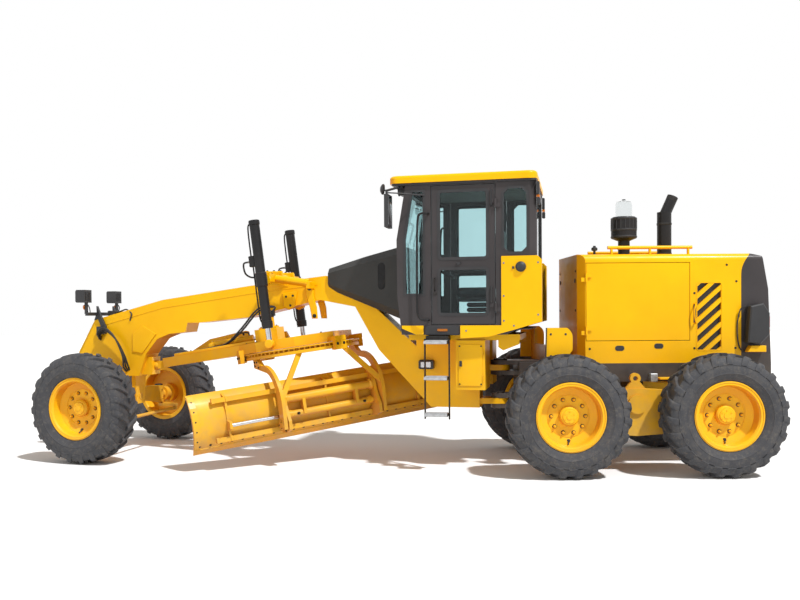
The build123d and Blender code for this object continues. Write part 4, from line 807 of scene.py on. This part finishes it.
def swell(made, voxel, cap):
    """Fill a pad with air by a cloth simulation; no point moves further than cap."""
    graph = bpy.context.evaluated_depsgraph_get
    remesh = made.modifiers.new("remesh", "REMESH")
    remesh.mode, remesh.voxel_size = "VOXEL", voxel
    even = bpy.data.meshes.new_from_object(made.evaluated_get(graph()))
    made.modifiers.clear()
    made.data = even
    start = [v.co.copy() for v in even.vertices]
    cloth = made.modifiers.new("cloth", "CLOTH")
    cloth.settings.use_pressure = True
    cloth.settings.uniform_pressure_force = 4.0
    cloth.settings.effector_weights.gravity = 0.0
    cloth.point_cache.frame_start, cloth.point_cache.frame_end = 1, 20
    for step in range(1, 21):
        scene.frame_set(step)
    blown = bpy.data.meshes.new_from_object(made.evaluated_get(graph()))
    made.modifiers.clear()
    scene.frame_set(1)
    for v, was in zip(blown.vertices, start):
        move = v.co - was
        v.co = was + move * min(1.0, cap / max(move.length, 1e-9))
    made.data = blown
    made.data.polygons.foreach_set("use_smooth", [True] * len(made.data.polygons))
    made.data.materials.clear()
    made.data.materials.append(fabric)


def sewn(made, lines, across, thick, depth=0.006, width=0.009):
    """Sewn channels: both faces drawn in, through the pad's thickness, at lines across it."""
    vertices = made.data.vertices
    middle = sum(v.co[thick] for v in vertices) / len(vertices)
    for v in vertices:
        near = min(abs(v.co[across] - line) for line in lines)
        pull = depth * exp(-((near / width) ** 2))
        v.co[thick] += pull if v.co[thick] < middle else -pull


seat_frame = Piece("seat_frame", "front", black_plastic)
for k in range(5):
    z = 1.465 + 0.055 * k
    seat_frame.prism(rounded(0.11, -0.14, 0.35, 0.14, 0.03), "z", z, z + 0.05, 0.016)
seat_frame.prism(rounded(0.02, -0.22, 0.45, 0.22, 0.05), "z", 1.745, 1.785, 0.01)
seat_frame.prism(rounded(-0.2, 1.76, 0.2, 2.5, 0.06), "x", -0.06, -0.04, 0.006)
for y in (-0.17, 0.17):
    seat_frame.tube([(0.05, y, 1.765), (-0.03, y, 1.77), (-0.052, y, 1.83), (-0.052, y, 2.0)], 0.012, 10, 4)
    seat_frame.tube([(0.08, y, 1.458), (0.38, y, 1.458)], 0.009, 8)
seat_frame.done("seat")

# the two soft pads
for name, outline, axis, low, high, lines, across in (
    ("seat_cushion", rounded(0.06, -0.235, 0.465, 0.235, 0.05), "z", 1.8, 1.882, (-0.13, 0.13), 1),
    ("seat_backrest", rounded(-0.215, 1.85, 0.215, 2.5, 0.07), "x", -0.036, 0.034, (2.0, 2.15, 2.3), 2),
):
    pad = Piece(name, "front", fabric, Matrix())
    pad.prism(outline, axis, low, high, 0.025)
    made = pad.done()
    swell(made, 0.006, 0.014)
    sewn(made, lines, across, "xyz".index(axis))
    made.data.transform(FRONT)

controls = Piece("cab_controls", "front", black_plastic)
for _ in both_sides(controls):
    controls.box((0.05, 0.295, 2.1), (0.34, 0.385, 2.15), 0.015)
    controls.box((-0.055, 0.32, 2.06), (0.06, 0.36, 2.11), 0.01)
    controls.tube([(-0.045, 0.34, 2.08), (-0.052, 0.204, 2.02), (-0.052, 0.17, 1.98)], 0.012, 10, 3)
    for y in (0.15, 0.2, 0.25, 0.3):
        controls.tube([(0.76, y * 0.8, 1.95), (0.7, y, 2.12), (0.62, y, 2.22)], 0.006, 8)
        controls.lathe([(0, 0.012), (0.02, 0.017), (0.035, 0.015), (0.042, 0.008)], (0.62, y, 2.215),
                       (-0.5, 0, 1), 16)
controls.prism([(0.72, 2.03), (0.8, 2.03), (0.82, 2.19), (0.76, 2.21)], "y", -0.16, 0.16, 0.012)
for y in (-0.14, 0.0, 0.14):
    controls.prism([(0.79, 1.462), (0.83, 1.462), (0.87, 1.6), (0.85, 1.6)], "y", y - 0.04, y + 0.04, 0.006)
controls.done()

# ============ front frame ============
BEAM = 0.16  # side faces of the main beam
beam_trim = Piece("beam_trim", "front", yellow)
beam_bolts = Piece("beam_bolts", "front", dark_steel)
beam_black = Piece("beam_dark_fittings", "front", black_plastic)
hoses = Piece("beam_hoses", "front", hose_rubber)
for _ in both_sides(beam_trim, beam_bolts, hoses, beam_black):
    # weld along the top plate, and stiffening plates at the bends
    crease = [(4.76, 1.502), (3.94, 1.715), (2.84, 1.868), (2.02, 1.958)]
    for (x0, z0), (x1, z1) in zip(crease, crease[1:]):
        beam_trim.plate([(x0, z0), (x0, z0 - 0.012), (x1, z1 - 0.012), (x1, z1)], BEAM, 0.004, 0.0015)
    beam_trim.plate([(4.02, 1.4), (4.2, 1.17), (4.33, 1.19), (4.33, 1.4), (4.2, 1.5)], BEAM, 0.012, 0.003)
    beam_trim.plate([(2.26, 1.88), (2.44, 1.86), (2.42, 1.7), (2.36, 1.67), (2.29, 1.7)], BEAM, 0.03, 0.006)
    beam_bolts.bolts(((2.31, 1.83), (2.39, 1.82), (2.34, 1.72)), BEAM + 0.03, 0.009, 0.009)
    # hoses from the nose down to the axle
    for k in range(3):
        y, d = BEAM + 0.012 + 0.022 * k, 0.02 * k
        hoses.tube([(4.75, BEAM, 1.33 + d), (4.75, y + 0.03, 1.36 + d), (4.66, y + 0.05, 1.44 + d),
                    (4.52, y + 0.05, 1.34 + d), (4.42, y + 0.03, 1.15), (4.38 + d, y, 1.0),
                    (4.38 + d, 0.1, 0.93)], 0.0105, 8, 5)
    beam_black.box((4.67, BEAM, 1.4), (4.78, BEAM + 0.05, 1.49), 0.006)
    beam_bolts.bolt((4.7, BEAM + 0.05, 1.445), OUT, 0.007, 0.006)
    # working lamp on the beam under the cab
    beam_black.box((0.7, BEAM, 1.015), (0.86, BEAM + 0.09, 1.115), 0.012)
    # gusset under the deck's rear corner
    gusset = [(-0.245, 1.345), (-0.03, 1.345), (-0.03, 1.27), (-0.08, 1.235), (-0.245, 1.3)]
    beam_trim.plate(gusset, 0.545, 0.03, 0.003)
    # side box: door with hinges and latch
    face = 0.6203  # just off the box's own side
    beam_trim.plate(rounded(0.125, 0.87, 0.375, 1.3, 0.02), face, 0.008, 0.003)
    for z in (0.95, 1.22):
        beam_trim.lathe([(-0.03, 0.008), (0.03, 0.008)], (0.122, face + 0.008, z), UP, 12)
    beam_black.plate(rounded(0.335, 1.07, 0.362, 1.13, 0.008), face + 0.008, 0.012, 0.003)
    beam_bolts.bolts(((0.14, 0.89), (0.36, 0.89), (0.14, 1.28), (0.36, 1.28)), face + 0.008, 0.006, 0.005)
    # nose: brackets of the lamp bar
    beam_black.plate([(4.66, 1.48), (4.73, 1.48), (4.785, 1.62), (4.79, 1.735), (4.775, 1.735),
                      (4.72, 1.6)], 0.163, 0.032, 0.004)
    beam_black.plate([(4.76, 1.585), (4.83, 1.565), (4.8, 1.64), (4.775, 1.66)], 0.165, 0.015, 0.003)
    beam_bolts.lathe([(0, 0.052), (0.012, 0.052), (0.02, 0.045), (0.024, 0.02)], (4.45, 0.7, 0.716), UP, 24)
    beam_bolts.bolt_ring((4.45, 0.7, 0.732), 0.036, 4, 0.5, UP, 0.006, 0.006)
beam_bolts.lathe([(0, 0.04), (0.02, 0.04), (0.03, 0.034), (0.032, 0.015)], (4.584, 0, 0.647), AHEAD, 24)
beam_bolts.bolt((4.614, 0, 0.647), AHEAD, 0.02, 0.016)
for y in (-0.08, 0.08):
    for z in (0.92, 1.0, 1.08):
        beam_bolts.bolt((4.279, y, z), AHEAD, 0.009, 0.008)
# valve on the nose, and its pipe
beam_black.box((4.6, -0.09, 1.62), (4.7, 0.09, 1.68), 0.008)
hoses.tube([(4.6, 0.05, 1.65), (4.5, 0.09, 1.68), (4.42, 0.13, 1.69), (4.34, 0.165, 1.64),
            (4.36, 0.168, 1.56)], 0.009, 8, 5)
done(beam_trim, beam_bolts, beam_black, hoses)

treads = Piece("ladder_treads", "front", galvanised)
for _ in both_sides(treads):
    for z in (0.59, 0.96, 1.325):
        treads.box((0.4565, 0.724, z - 0.0165), (0.6935, 0.8615, z + 0.0165), 0.004)
        for k in range(7):
            y = 0.735 + 0.018 * k
            treads.box((0.465, y, z + 0.015), (0.685, y + 0.008, z + 0.022), 0.002)
treads.done()

LAMP = 0.34  # middle of a headlamp
work_lamp = Piece("work_lamp_lenses", "front", lamp_glass)
head_rings = Piece("headlamp_bezels", "front", black_plastic)
turn_lamps = Piece("headlamp_indicators", "front", amber)
for side in both_sides(work_lamp):
    y = side * LAMP
    work_lamp.plate(rounded(0.725, 1.035, 0.835, 1.095, 0.01), BEAM + 0.088, 0.008, 0.002)
    work_lamp.prism(centred(LAMP, 1.85, 0.058, 0.058, 0.02), "x", 4.913, 4.921, 0.003)
    head_rings.rim(centred(y, 1.85, 0.072, 0.072, 0.02), 0.014, "x", 4.913, 4.929)
    for k in range(4):
        head_rings.box((4.806, y - 0.05 + 0.03 * k, 1.8), (4.8, y - 0.038 + 0.03 * k, 1.9), 0.001)
    head_rings.tube([(4.83, y, 1.775), (4.79, y, 1.72), (4.8, y * 0.9, 1.655)], 0.006, 8, 4)
    turn_lamps.lathe([(0, 0.03), (0.012, 0.03), (0.02, 0.02)], (4.845, y, 1.72), AHEAD, 20)
done(work_lamp, head_rings, turn_lamps)

# cover ahead of the windscreen, with its long edges cut back
shell = Piece("cover_shell", "front", cover_grey)
rings = []
for x, half, low, high, cut in (
    (1.0, 0.45, 1.55, 2.345, 0.085),
    (1.45, 0.3218, 1.725, 2.246, 0.075),
    (1.895, 0.19, 1.9, 2.13, 0.055),
):
    corners = ((half - cut, low), (half, low + cut), (half, high - cut), (half - cut, high))
    rings.append([(x, y, z) for y, z in corners] + [(x, -y, z) for y, z in corners[::-1]])
shell.skin(rings)
shell.done("front_cover")
slope = Vector((0.26, 0.895, 0)).normalized()
for side_name, side in SIDES:
    normal = Vector((slope.x, side * slope.y, 0))
    at = FRONT @ axes_frame((1.0, side * 0.45, 0), normal, UP)
    cover = Piece(f"cover_fittings_{side_name}", "front", black_plastic, at)
    for z in (2.165, 2.0, 1.84, 1.675):
        cover.bolt((side * 0.025, 0, z), OUT, 0.007, 0.005)
    cover.done()
    # thin near-black sheet on the cover: painted shade standing for the slot's opening
    slot = Piece(f"cover_opening_{side_name}", "front", opening_painted_shade, at)
    u0, u1 = sorted((side * 0.2, side * 0.29))
    slot.prism(rounded(u0, 1.88, u1, 2.17, 0.0449, 8), "y", 0, 0.003, 0.001)
    slot.done()

# ============ lift yoke ============
yoke = Piece("yoke_castings", "front", yellow)
yoke_bolts = Piece("yoke_bolts", "front", dark_steel)
for _ in both_sides(yoke, yoke_bolts):
    # lock cylinder behind the yoke and its link
    yoke.tube([(2.47, 0.3, 2.02), (2.1, 0.3, 1.965)], 0.043, 24)
    yoke.lathe([(0, 0.05), (0.03, 0.05), (0.036, 0.044)], (2.12, 0.3, 1.968), (-0.37, 0, -0.055), 24)
    yoke.box((2.06, 0.15, 1.9), (2.1, 0.345, 1.985), 0.008)
    yoke.plate([(2.07, 1.95), (2.16, 1.95), (2.15, 1.82), (2.11, 1.7), (2.085, 1.57), (2.02, 1.57),
                (2.03, 1.7), (2.065, 1.82)], 0.165, 0.03, 0.006)
    yoke_bolts.lathe([(0, 0.024), (0.01, 0.024), (0.013, 0.018)], (2.11, 0.195, 1.91), OUT, 20)
    yoke_bolts.lathe([(0, 0.022), (0.01, 0.022), (0.013, 0.016)], (2.053, 0.195, 1.6), OUT, 20)
    # saddle over the beam, with clamp bolts
    yoke.plate([(2.4, 1.985), (2.43, 2.11), (2.63, 2.11), (2.66, 1.985)], 0.172, 0.048, 0.01)
    for x in (2.45, 2.53, 2.61):
        yoke_bolts.bolt((x, 0.195, 2.11), UP, 0.011, 0.012)
    for x in (2.48, 2.58):
        yoke_bolts.bolt((x, 0.4, 2.075), UP, 0.009, 0.008)
done(yoke, yoke_bolts)

# ============ lift cylinders ============
REACH = 0.7058  # from a trunnion to its rod's eye
for side_name, side in SIDES:
    swing = joint_pos(f"lift_barrel_{side_name}_swing")
    slide = joint_axis(f"lift_rod_{side_name}_slide")
    slide = slide if slide.z > 0 else -slide
    at = axes_frame(swing, joint_axis("drawbar_lift"), slide)
    body = f"lift_barrel_{side_name}"
    barrel = Piece(f"{body}_fittings", body, black, at)
    barrel.lathe([(-0.52, 0.034), (-0.535, 0.04), (-0.535, 0.058), (-0.5, 0.062), (-0.46, 0.062),
                  (-0.455, 0.0555)], (0, 0, 0), UP, 36)
    barrel.lathe([(0.6, 0.0555), (0.604, 0.061), (0.645, 0.061), (0.653, 0.055), (0.656, 0.02)],
                 (0, 0, 0), UP, 36)
    barrel.lathe([(-0.08, 0.0555), (-0.07, 0.064), (0.07, 0.064), (0.08, 0.0555)], (0, 0, 0), UP, 36)
    barrel.box((0.045, -0.032, 0.15), (0.105, 0.032, 0.27), 0.005)
    barrel.tube([(0.08, 0.012, 0.26), (0.08, 0.012, 0.42), (0.076, 0.01, 0.57), (0.06, 0.008, 0.615),
                 (0.04, 0.006, 0.62)], 0.009, 8, 3)
    barrel.tube([(0.08, -0.012, 0.16), (0.08, -0.012, -0.3), (0.076, -0.01, -0.42), (0.055, -0.008, -0.47),
                 (0.04, -0.006, -0.47)], 0.009, 8, 3)
    barrel.done()
    barrel_bolts = Piece(f"{body}_bolts", body, steel, at)
    for y in (-0.022, 0.022):
        for z in (0.165, 0.255):
            barrel_bolts.bolt((0.105, y, z), AHEAD, 0.006, 0.006)
    barrel_bolts.lathe([(0, 0.014), (0.02, 0.014), (0.022, 0.01)], (0.105, 0, 0.21), AHEAD, 6)
    barrel_bolts.done()
    eye = Piece(f"lift_rod_{side_name}_eye", f"lift_rod_{side_name}", yellow_low, at, side)
    eye.lathe([(-0.059, 0.0487), (0.003, 0.0487), (0.008, 0.044), (0.009, 0.02)],
              (0, 0.0355, -REACH), OUT, 36)
    eye.done()
    pipe = Piece(f"{body}_hoses", body, hose_rubber, at, side)
    pipe.tube([(0.12, 0, 0.21), (0.19, -0.02, 0.2), (0.2, -0.06, 0.1), (0.15, -0.1, 0.05),
               (0.08, -0.11, 0.05)], 0.01, 8, 5)
    pipe.done()

# ============ drawbar ============
bar = Piece("drawbar_fittings", "drawbar", yellow_low)
bar_bolts = Piece("drawbar_bolts", "drawbar", dark_steel)
bar_black = Piece("drawbar_dark_fittings", "drawbar", black)
shift_rod = Piece("centre_shift_rod", "drawbar", chrome)
# upright plate between the drawbar's arms
bar.prism([(-1.22, 0.065), (-1.22, 0.225), (-1.18, 0.24), (-0.72, 0.21), (-0.38, 0.065)],
          "y", -0.04, -0.015, 0.006)
bar_bolts.bolts(((-1.15, 0.2), (-1.15, 0.12), (-0.8, 0.15)), -0.015, 0.009, 0.009)
# centre shift cylinder lying on the plate
bar.tube([(-1.3, 0.13, 0.13), (-0.82, 0.16, 0.13)], 0.042, 28)
bar.lathe([(0, 0.047), (0.03, 0.047), (0.035, 0.04)], (-1.29, 0.13, 0.13), (-1, -0.06, 0), 28)
bar.box((-0.86, 0.1, 0.06), (-0.8, 0.22, 0.15), 0.008)
bar.plate([(-1.76, 0.06), (-1.6, 0.06), (-1.64, 0.155), (-1.72, 0.155)], 0.075, 0.06, 0.006)
shift_rod.tube([(-1.32, 0.129, 0.13), (-1.68, 0.107, 0.13)], 0.021, 20)
# circle drive: gear head and motor
bar.lathe([(0, 0.115), (0.012, 0.115), (0.016, 0.11), (0.016, 0.072)], (-1.6, 0.32, 0.211), UP, 36)
bar_bolts.bolt_ring((-1.6, 0.32, 0.227), 0.093, 8, 0, UP, 0.009, 0.01)
bar_black.lathe([(0, 0.071), (0.01, 0.076), (0.03, 0.076), (0.036, 0.06), (0.08, 0.056), (0.09, 0.045),
                 (0.095, 0.02)], (-1.6, 0.32, 0.328), UP, 32)
bar_black.box((-1.69, 0.295, 0.34), (-1.65, 0.345, 0.4), 0.004)
for _ in both_sides(bar, bar_bolts):
    # weld along the edge, and bolts in the plate
    bar.prism([(-1.46, 0.45), (-1.44, 0.455), (-0.3, 0.115), (-0.3, 0.1)], "z", 0.069, 0.1, 0.004)
    for x, y in ((-1.5, 0.5), (-1.86, 0.5), (-2.2, 0.34), (-1.35, 0.42)):
        bar_bolts.bolt((x, y, 0.07), UP, 0.011, 0.012)
# bolts of the four shoes that carry the circle
centre = Vector((-1.83, 0, 0))  # the circle's middle
for angle in (35, 145, 215, 325):
    a = radians(angle)
    radial, across = Vector((cos(a), sin(a), 0)), Vector((-sin(a), cos(a), 0))
    for shift in (-0.045, 0.045):
        spot = centre + shift * across
        bar_bolts.bolt(spot + 0.735 * radial - 0.075 * UP, radial, 0.011, 0.012)
        bar_bolts.bolt(spot + 0.712 * radial - 0.02 * UP, UP, 0.009, 0.009)
done(bar, bar_bolts, bar_black, shift_rod)
bar_hoses = Piece("drawbar_hoses", "drawbar", hose_rubber)
for k in range(2):
    d = 0.03 * k
    bar_hoses.tube([(-1.67, 0.332 - d, 0.39), (-1.7, 0.32, 0.44), (-1.5, 0.3, 0.45 - d),
                    (-1.26, 0.29, 0.26 - d), (-1.05, 0.27 - d, 0.12), (-0.86, 0.24 + d / 2, 0.1),
                    (-0.55, 0.12 + d / 3, 0.09), (-0.35, 0.03 + d / 3, 0.085)], 0.011, 8, 4)
bar_hoses.tube([(-1.28, 0.13, 0.17), (-1.26, 0.14, 0.21), (-1.15, 0.2, 0.2), (-1.05, 0.25, 0.12),
                (-0.98, 0.27, 0.085)], 0.009, 8, 4)
bar_hoses.done()

# ============ circle arms, carrier and blade ============
ARM = 0.62  # outer faces of the arms
arms = Piece("arm_fittings", "circle", yellow_low)
arm_bolts = Piece("arm_bolts", "circle", dark_steel)
for _ in both_sides(arms, arm_bolts):
    arms.lathe([(0, 0.05), (0.01, 0.048), (0.01, 0.026), (0, 0.026)],
               (-0.63, ARM, -0.79), OUT, 32, loop=True)
    arms.plate([(-0.1, -0.075), (-0.2, -0.075), (-0.27, -0.14), (-0.22, -0.19), (-0.1, -0.15)],
               ARM, 0.008, 0.003)
    arm_bolts.bolts(((-0.12, -0.1), (-0.19, -0.1), (-0.12, -0.135), (-0.22, -0.16)),
                    ARM + 0.008, 0.009, 0.009)
    arm_bolts.bolt_ring((-0.63, ARM + 0.01, -0.79), 0.038, 3, 0, OUT, 0.0055, 0.005)
done(arms, arm_bolts)

carrier = Piece("carrier_fittings", "blade_carrier", yellow_low)
carrier_bolts = Piece("carrier_bolts", "blade_carrier", dark_steel)
for _ in both_sides(carrier, carrier_bolts):
    carrier.lathe([(0, 0.0385), (0.004, 0.045), (0.05, 0.045), (0.055, 0.0385)],
                  (-0.56, 0.46, -0.7), OUT, 32)
    carrier.lathe([(0, 0.0455), (0.012, 0.06), (0.03, 0.06)], (-0.57, 0.495, -0.53), OUT, 32)
    carrier.box((-0.61, 0.3, -0.72), (-0.535, 0.335, -0.53), 0.006)
    for z in (-0.4, -0.45, -0.81, -0.86):
        carrier_bolts.bolt((-0.56 if z > -0.5 else -0.59, 0.563, z), OUT, 0.009, 0.008)
    carrier_bolts.lathe([(0, 0.015), (0.025, 0.015), (0.03, 0.011)], (-0.6, 0.4, -0.7), (-1, 0, 0), 6)
done(carrier, carrier_bolts)

rod = Piece("side_shift_rod", "blade", chrome)
rod.tube([(-0.56, 0.03, -0.7), (-0.56, 1.132, -0.7)], 0.0203, 28)
rod.done()

EDGE = Vector((-0.38, 0, -0.95))  # middle of the blade's lower edge
HALF_BLADE = 1.525  # half the blade's length


def board_back(height):
    """X of the board's back from the edge, at a height above it: a parabola through three points."""
    points = ((0.06, -0.036), (0.33, -0.125), (0.62, -0.008))
    total = 0.0
    for h, x in points:
        for other, _ in points:
            if other != h:
                x *= (height - other) / (h - other)
        total += x
    return total


blade_bolts = Piece("blade_bolts", "blade", dark_steel)
for k in range(26):
    y = (HALF_BLADE - 0.06) * (2 * k / 25 - 1)
    blade_bolts.bolt(EDGE + Vector((board_back(0.085) + 0.001, y, 0.085)), (-0.93, 0, -0.33), 0.01, 0.012)
    blade_bolts.lathe([(0, 0.013), (0.003, 0.011)], EDGE + Vector((-0.0015, y, 0.05)), (0.93, 0, 0.36), 16)
for end in (-1, 1):
    for h in (0.14, 0.24, 0.34, 0.44, 0.54):
        lean = (board_back(h + 0.01) - board_back(h - 0.01)) / 0.02
        spot = EDGE + Vector((board_back(h) + 0.001, end * (HALF_BLADE - 0.035), h))
        blade_bolts.bolt(spot, (-1, 0, lean), 0.01, 0.011)
blade_bolts.done()
blade_trim = Piece("blade_end_plates", "blade", yellow_low)
for end in (-1, 1):
    for k in range(9):
        low, high = 0.062 + 0.06 * k, 0.122 + 0.06 * k
        outline = [(EDGE.x + board_back(h) + d, EDGE.z + h)
                   for h, d in ((low, -0.009), (low, 0.002), (high, 0.002), (high, -0.009))]
        blade_trim.prism(outline, "y", end * (HALF_BLADE - 0.07), end * (HALF_BLADE - 0.003), 0.001)
# clamp pads on the slide rails' ends
for y in (-1.29, -1.14, 1.14, 1.29):
    for z in (-0.425, -0.835):
        blade_trim.box((-0.53, y - 0.012, z - 0.03), (-0.485, y + 0.012, z + 0.03), 0.004)
blade_trim.done()

# ============ hitch ============
pins = Piece("hitch_pin_caps", "rear", dark_steel)
for z, up in ((1.106, 1), (0.594, -1)):
    pins.lathe([(0, 0.075), (0.012, 0.075), (0.018, 0.068), (0.02, 0.03)], (0, 0, z), (0, 0, up), 32)
    pins.bolt_ring((0, 0, z + up * 0.016), 0.052, 4, 0.5, (0, 0, up), 0.008, 0.008)
pins.done()

# ============ camera, floor and light ============
scene.view_settings.view_transform = "Standard"
CAMERA_AT = (1.444, 9.266, 1.613)  # from the hitch, on the ground under it
YAW, PITCH, ROLL = -0.412, 0.9, 0.398  # degrees

camera_data = bpy.data.cameras.new("camera")
camera_data.sensor_width = 36.0
camera_data.lens = 38.35
camera_data.shift_x, camera_data.shift_y = 0.0328, 0.0347
camera_data.clip_end = 200.0
camera = bpy.data.objects.new("camera", camera_data)
pose = Matrix.Translation(REAR @ Vector(CAMERA_AT))
for degrees, axis in ((180, "Z"), (90, "X"), (YAW, "Y"), (-PITCH, "X"), (-ROLL, "Z")):
    pose = pose @ Matrix.Rotation(radians(degrees), 4, axis)
camera.matrix_world = pose
scene.collection.objects.link(camera)
scene.camera = camera


def make_floor():
    """A pale floor that shows as the backdrop does, apart from the shadow on it."""
    data = bpy.data.meshes.new("floor")
    size = 60.0
    data.from_pydata(
        [(-size, -size, 0), (size, -size, 0), (size, size, 0), (-size, size, 0)], [], [(0, 1, 2, 3)])
    floor = bpy.data.objects.new("floor", data)
    s = Shader("floor", Roughness=0.9)
    s.colour(s.ramp(s.noise(0.6), (0.3, (0.9, 0.9, 0.9)), (0.7, (0.92, 0.92, 0.92))))
    data.materials.append(s.mat)
    scene.collection.objects.link(floor)


def make_world():
    """Plain soft light all round; white where the camera, glass or gloss looks at it."""
    world = bpy.data.worlds.new("studio")
    scene.world = world
    world.use_nodes = True
    nodes, links = world.node_tree.nodes, world.node_tree.links
    nodes.clear()
    lights = []
    for colour, strength in (((1.0, 0.94, 0.87, 1.0), 0.42), ((1.0, 1.0, 1.0, 1.0), 1.0)):
        light = nodes.new("ShaderNodeBackground")
        light.inputs["Color"].default_value = colour
        light.inputs["Strength"].default_value = strength
        lights.append(light.outputs[0])
    path = nodes.new("ShaderNodeLightPath").outputs
    seen = path["Is Camera Ray"]
    for ray in ("Is Transmission Ray", "Is Glossy Ray"):
        either = nodes.new("ShaderNodeMath")
        either.operation = "MAXIMUM"
        links.new(seen, either.inputs[0])
        links.new(path[ray], either.inputs[1])
        seen = either.outputs[0]
    mixed = nodes.new("ShaderNodeMixShader")
    for source, socket in zip((seen, *lights), mixed.inputs):
        links.new(source, socket)
    links.new(mixed.outputs[0], nodes.new("ShaderNodeOutputWorld").inputs["Surface"])


def make_lamp(name, towards, strength, angle):
    """A sun lamp; towards is the direction from the machine to the lamp."""
    data = bpy.data.lights.new(name, "SUN")
    data.energy = strength
    data.angle = radians(angle)
    lamp = bpy.data.objects.new(name, data)
    lamp.matrix_world = Vector(towards).to_track_quat("Z", "Y").to_matrix().to_4x4()
    scene.collection.objects.link(lamp)


make_floor()
make_world()
make_lamp("key", KEY, 3.6, 2.5)
make_lamp("fill", (0.7, 0.5, 0.35), 0.35, 30.0)
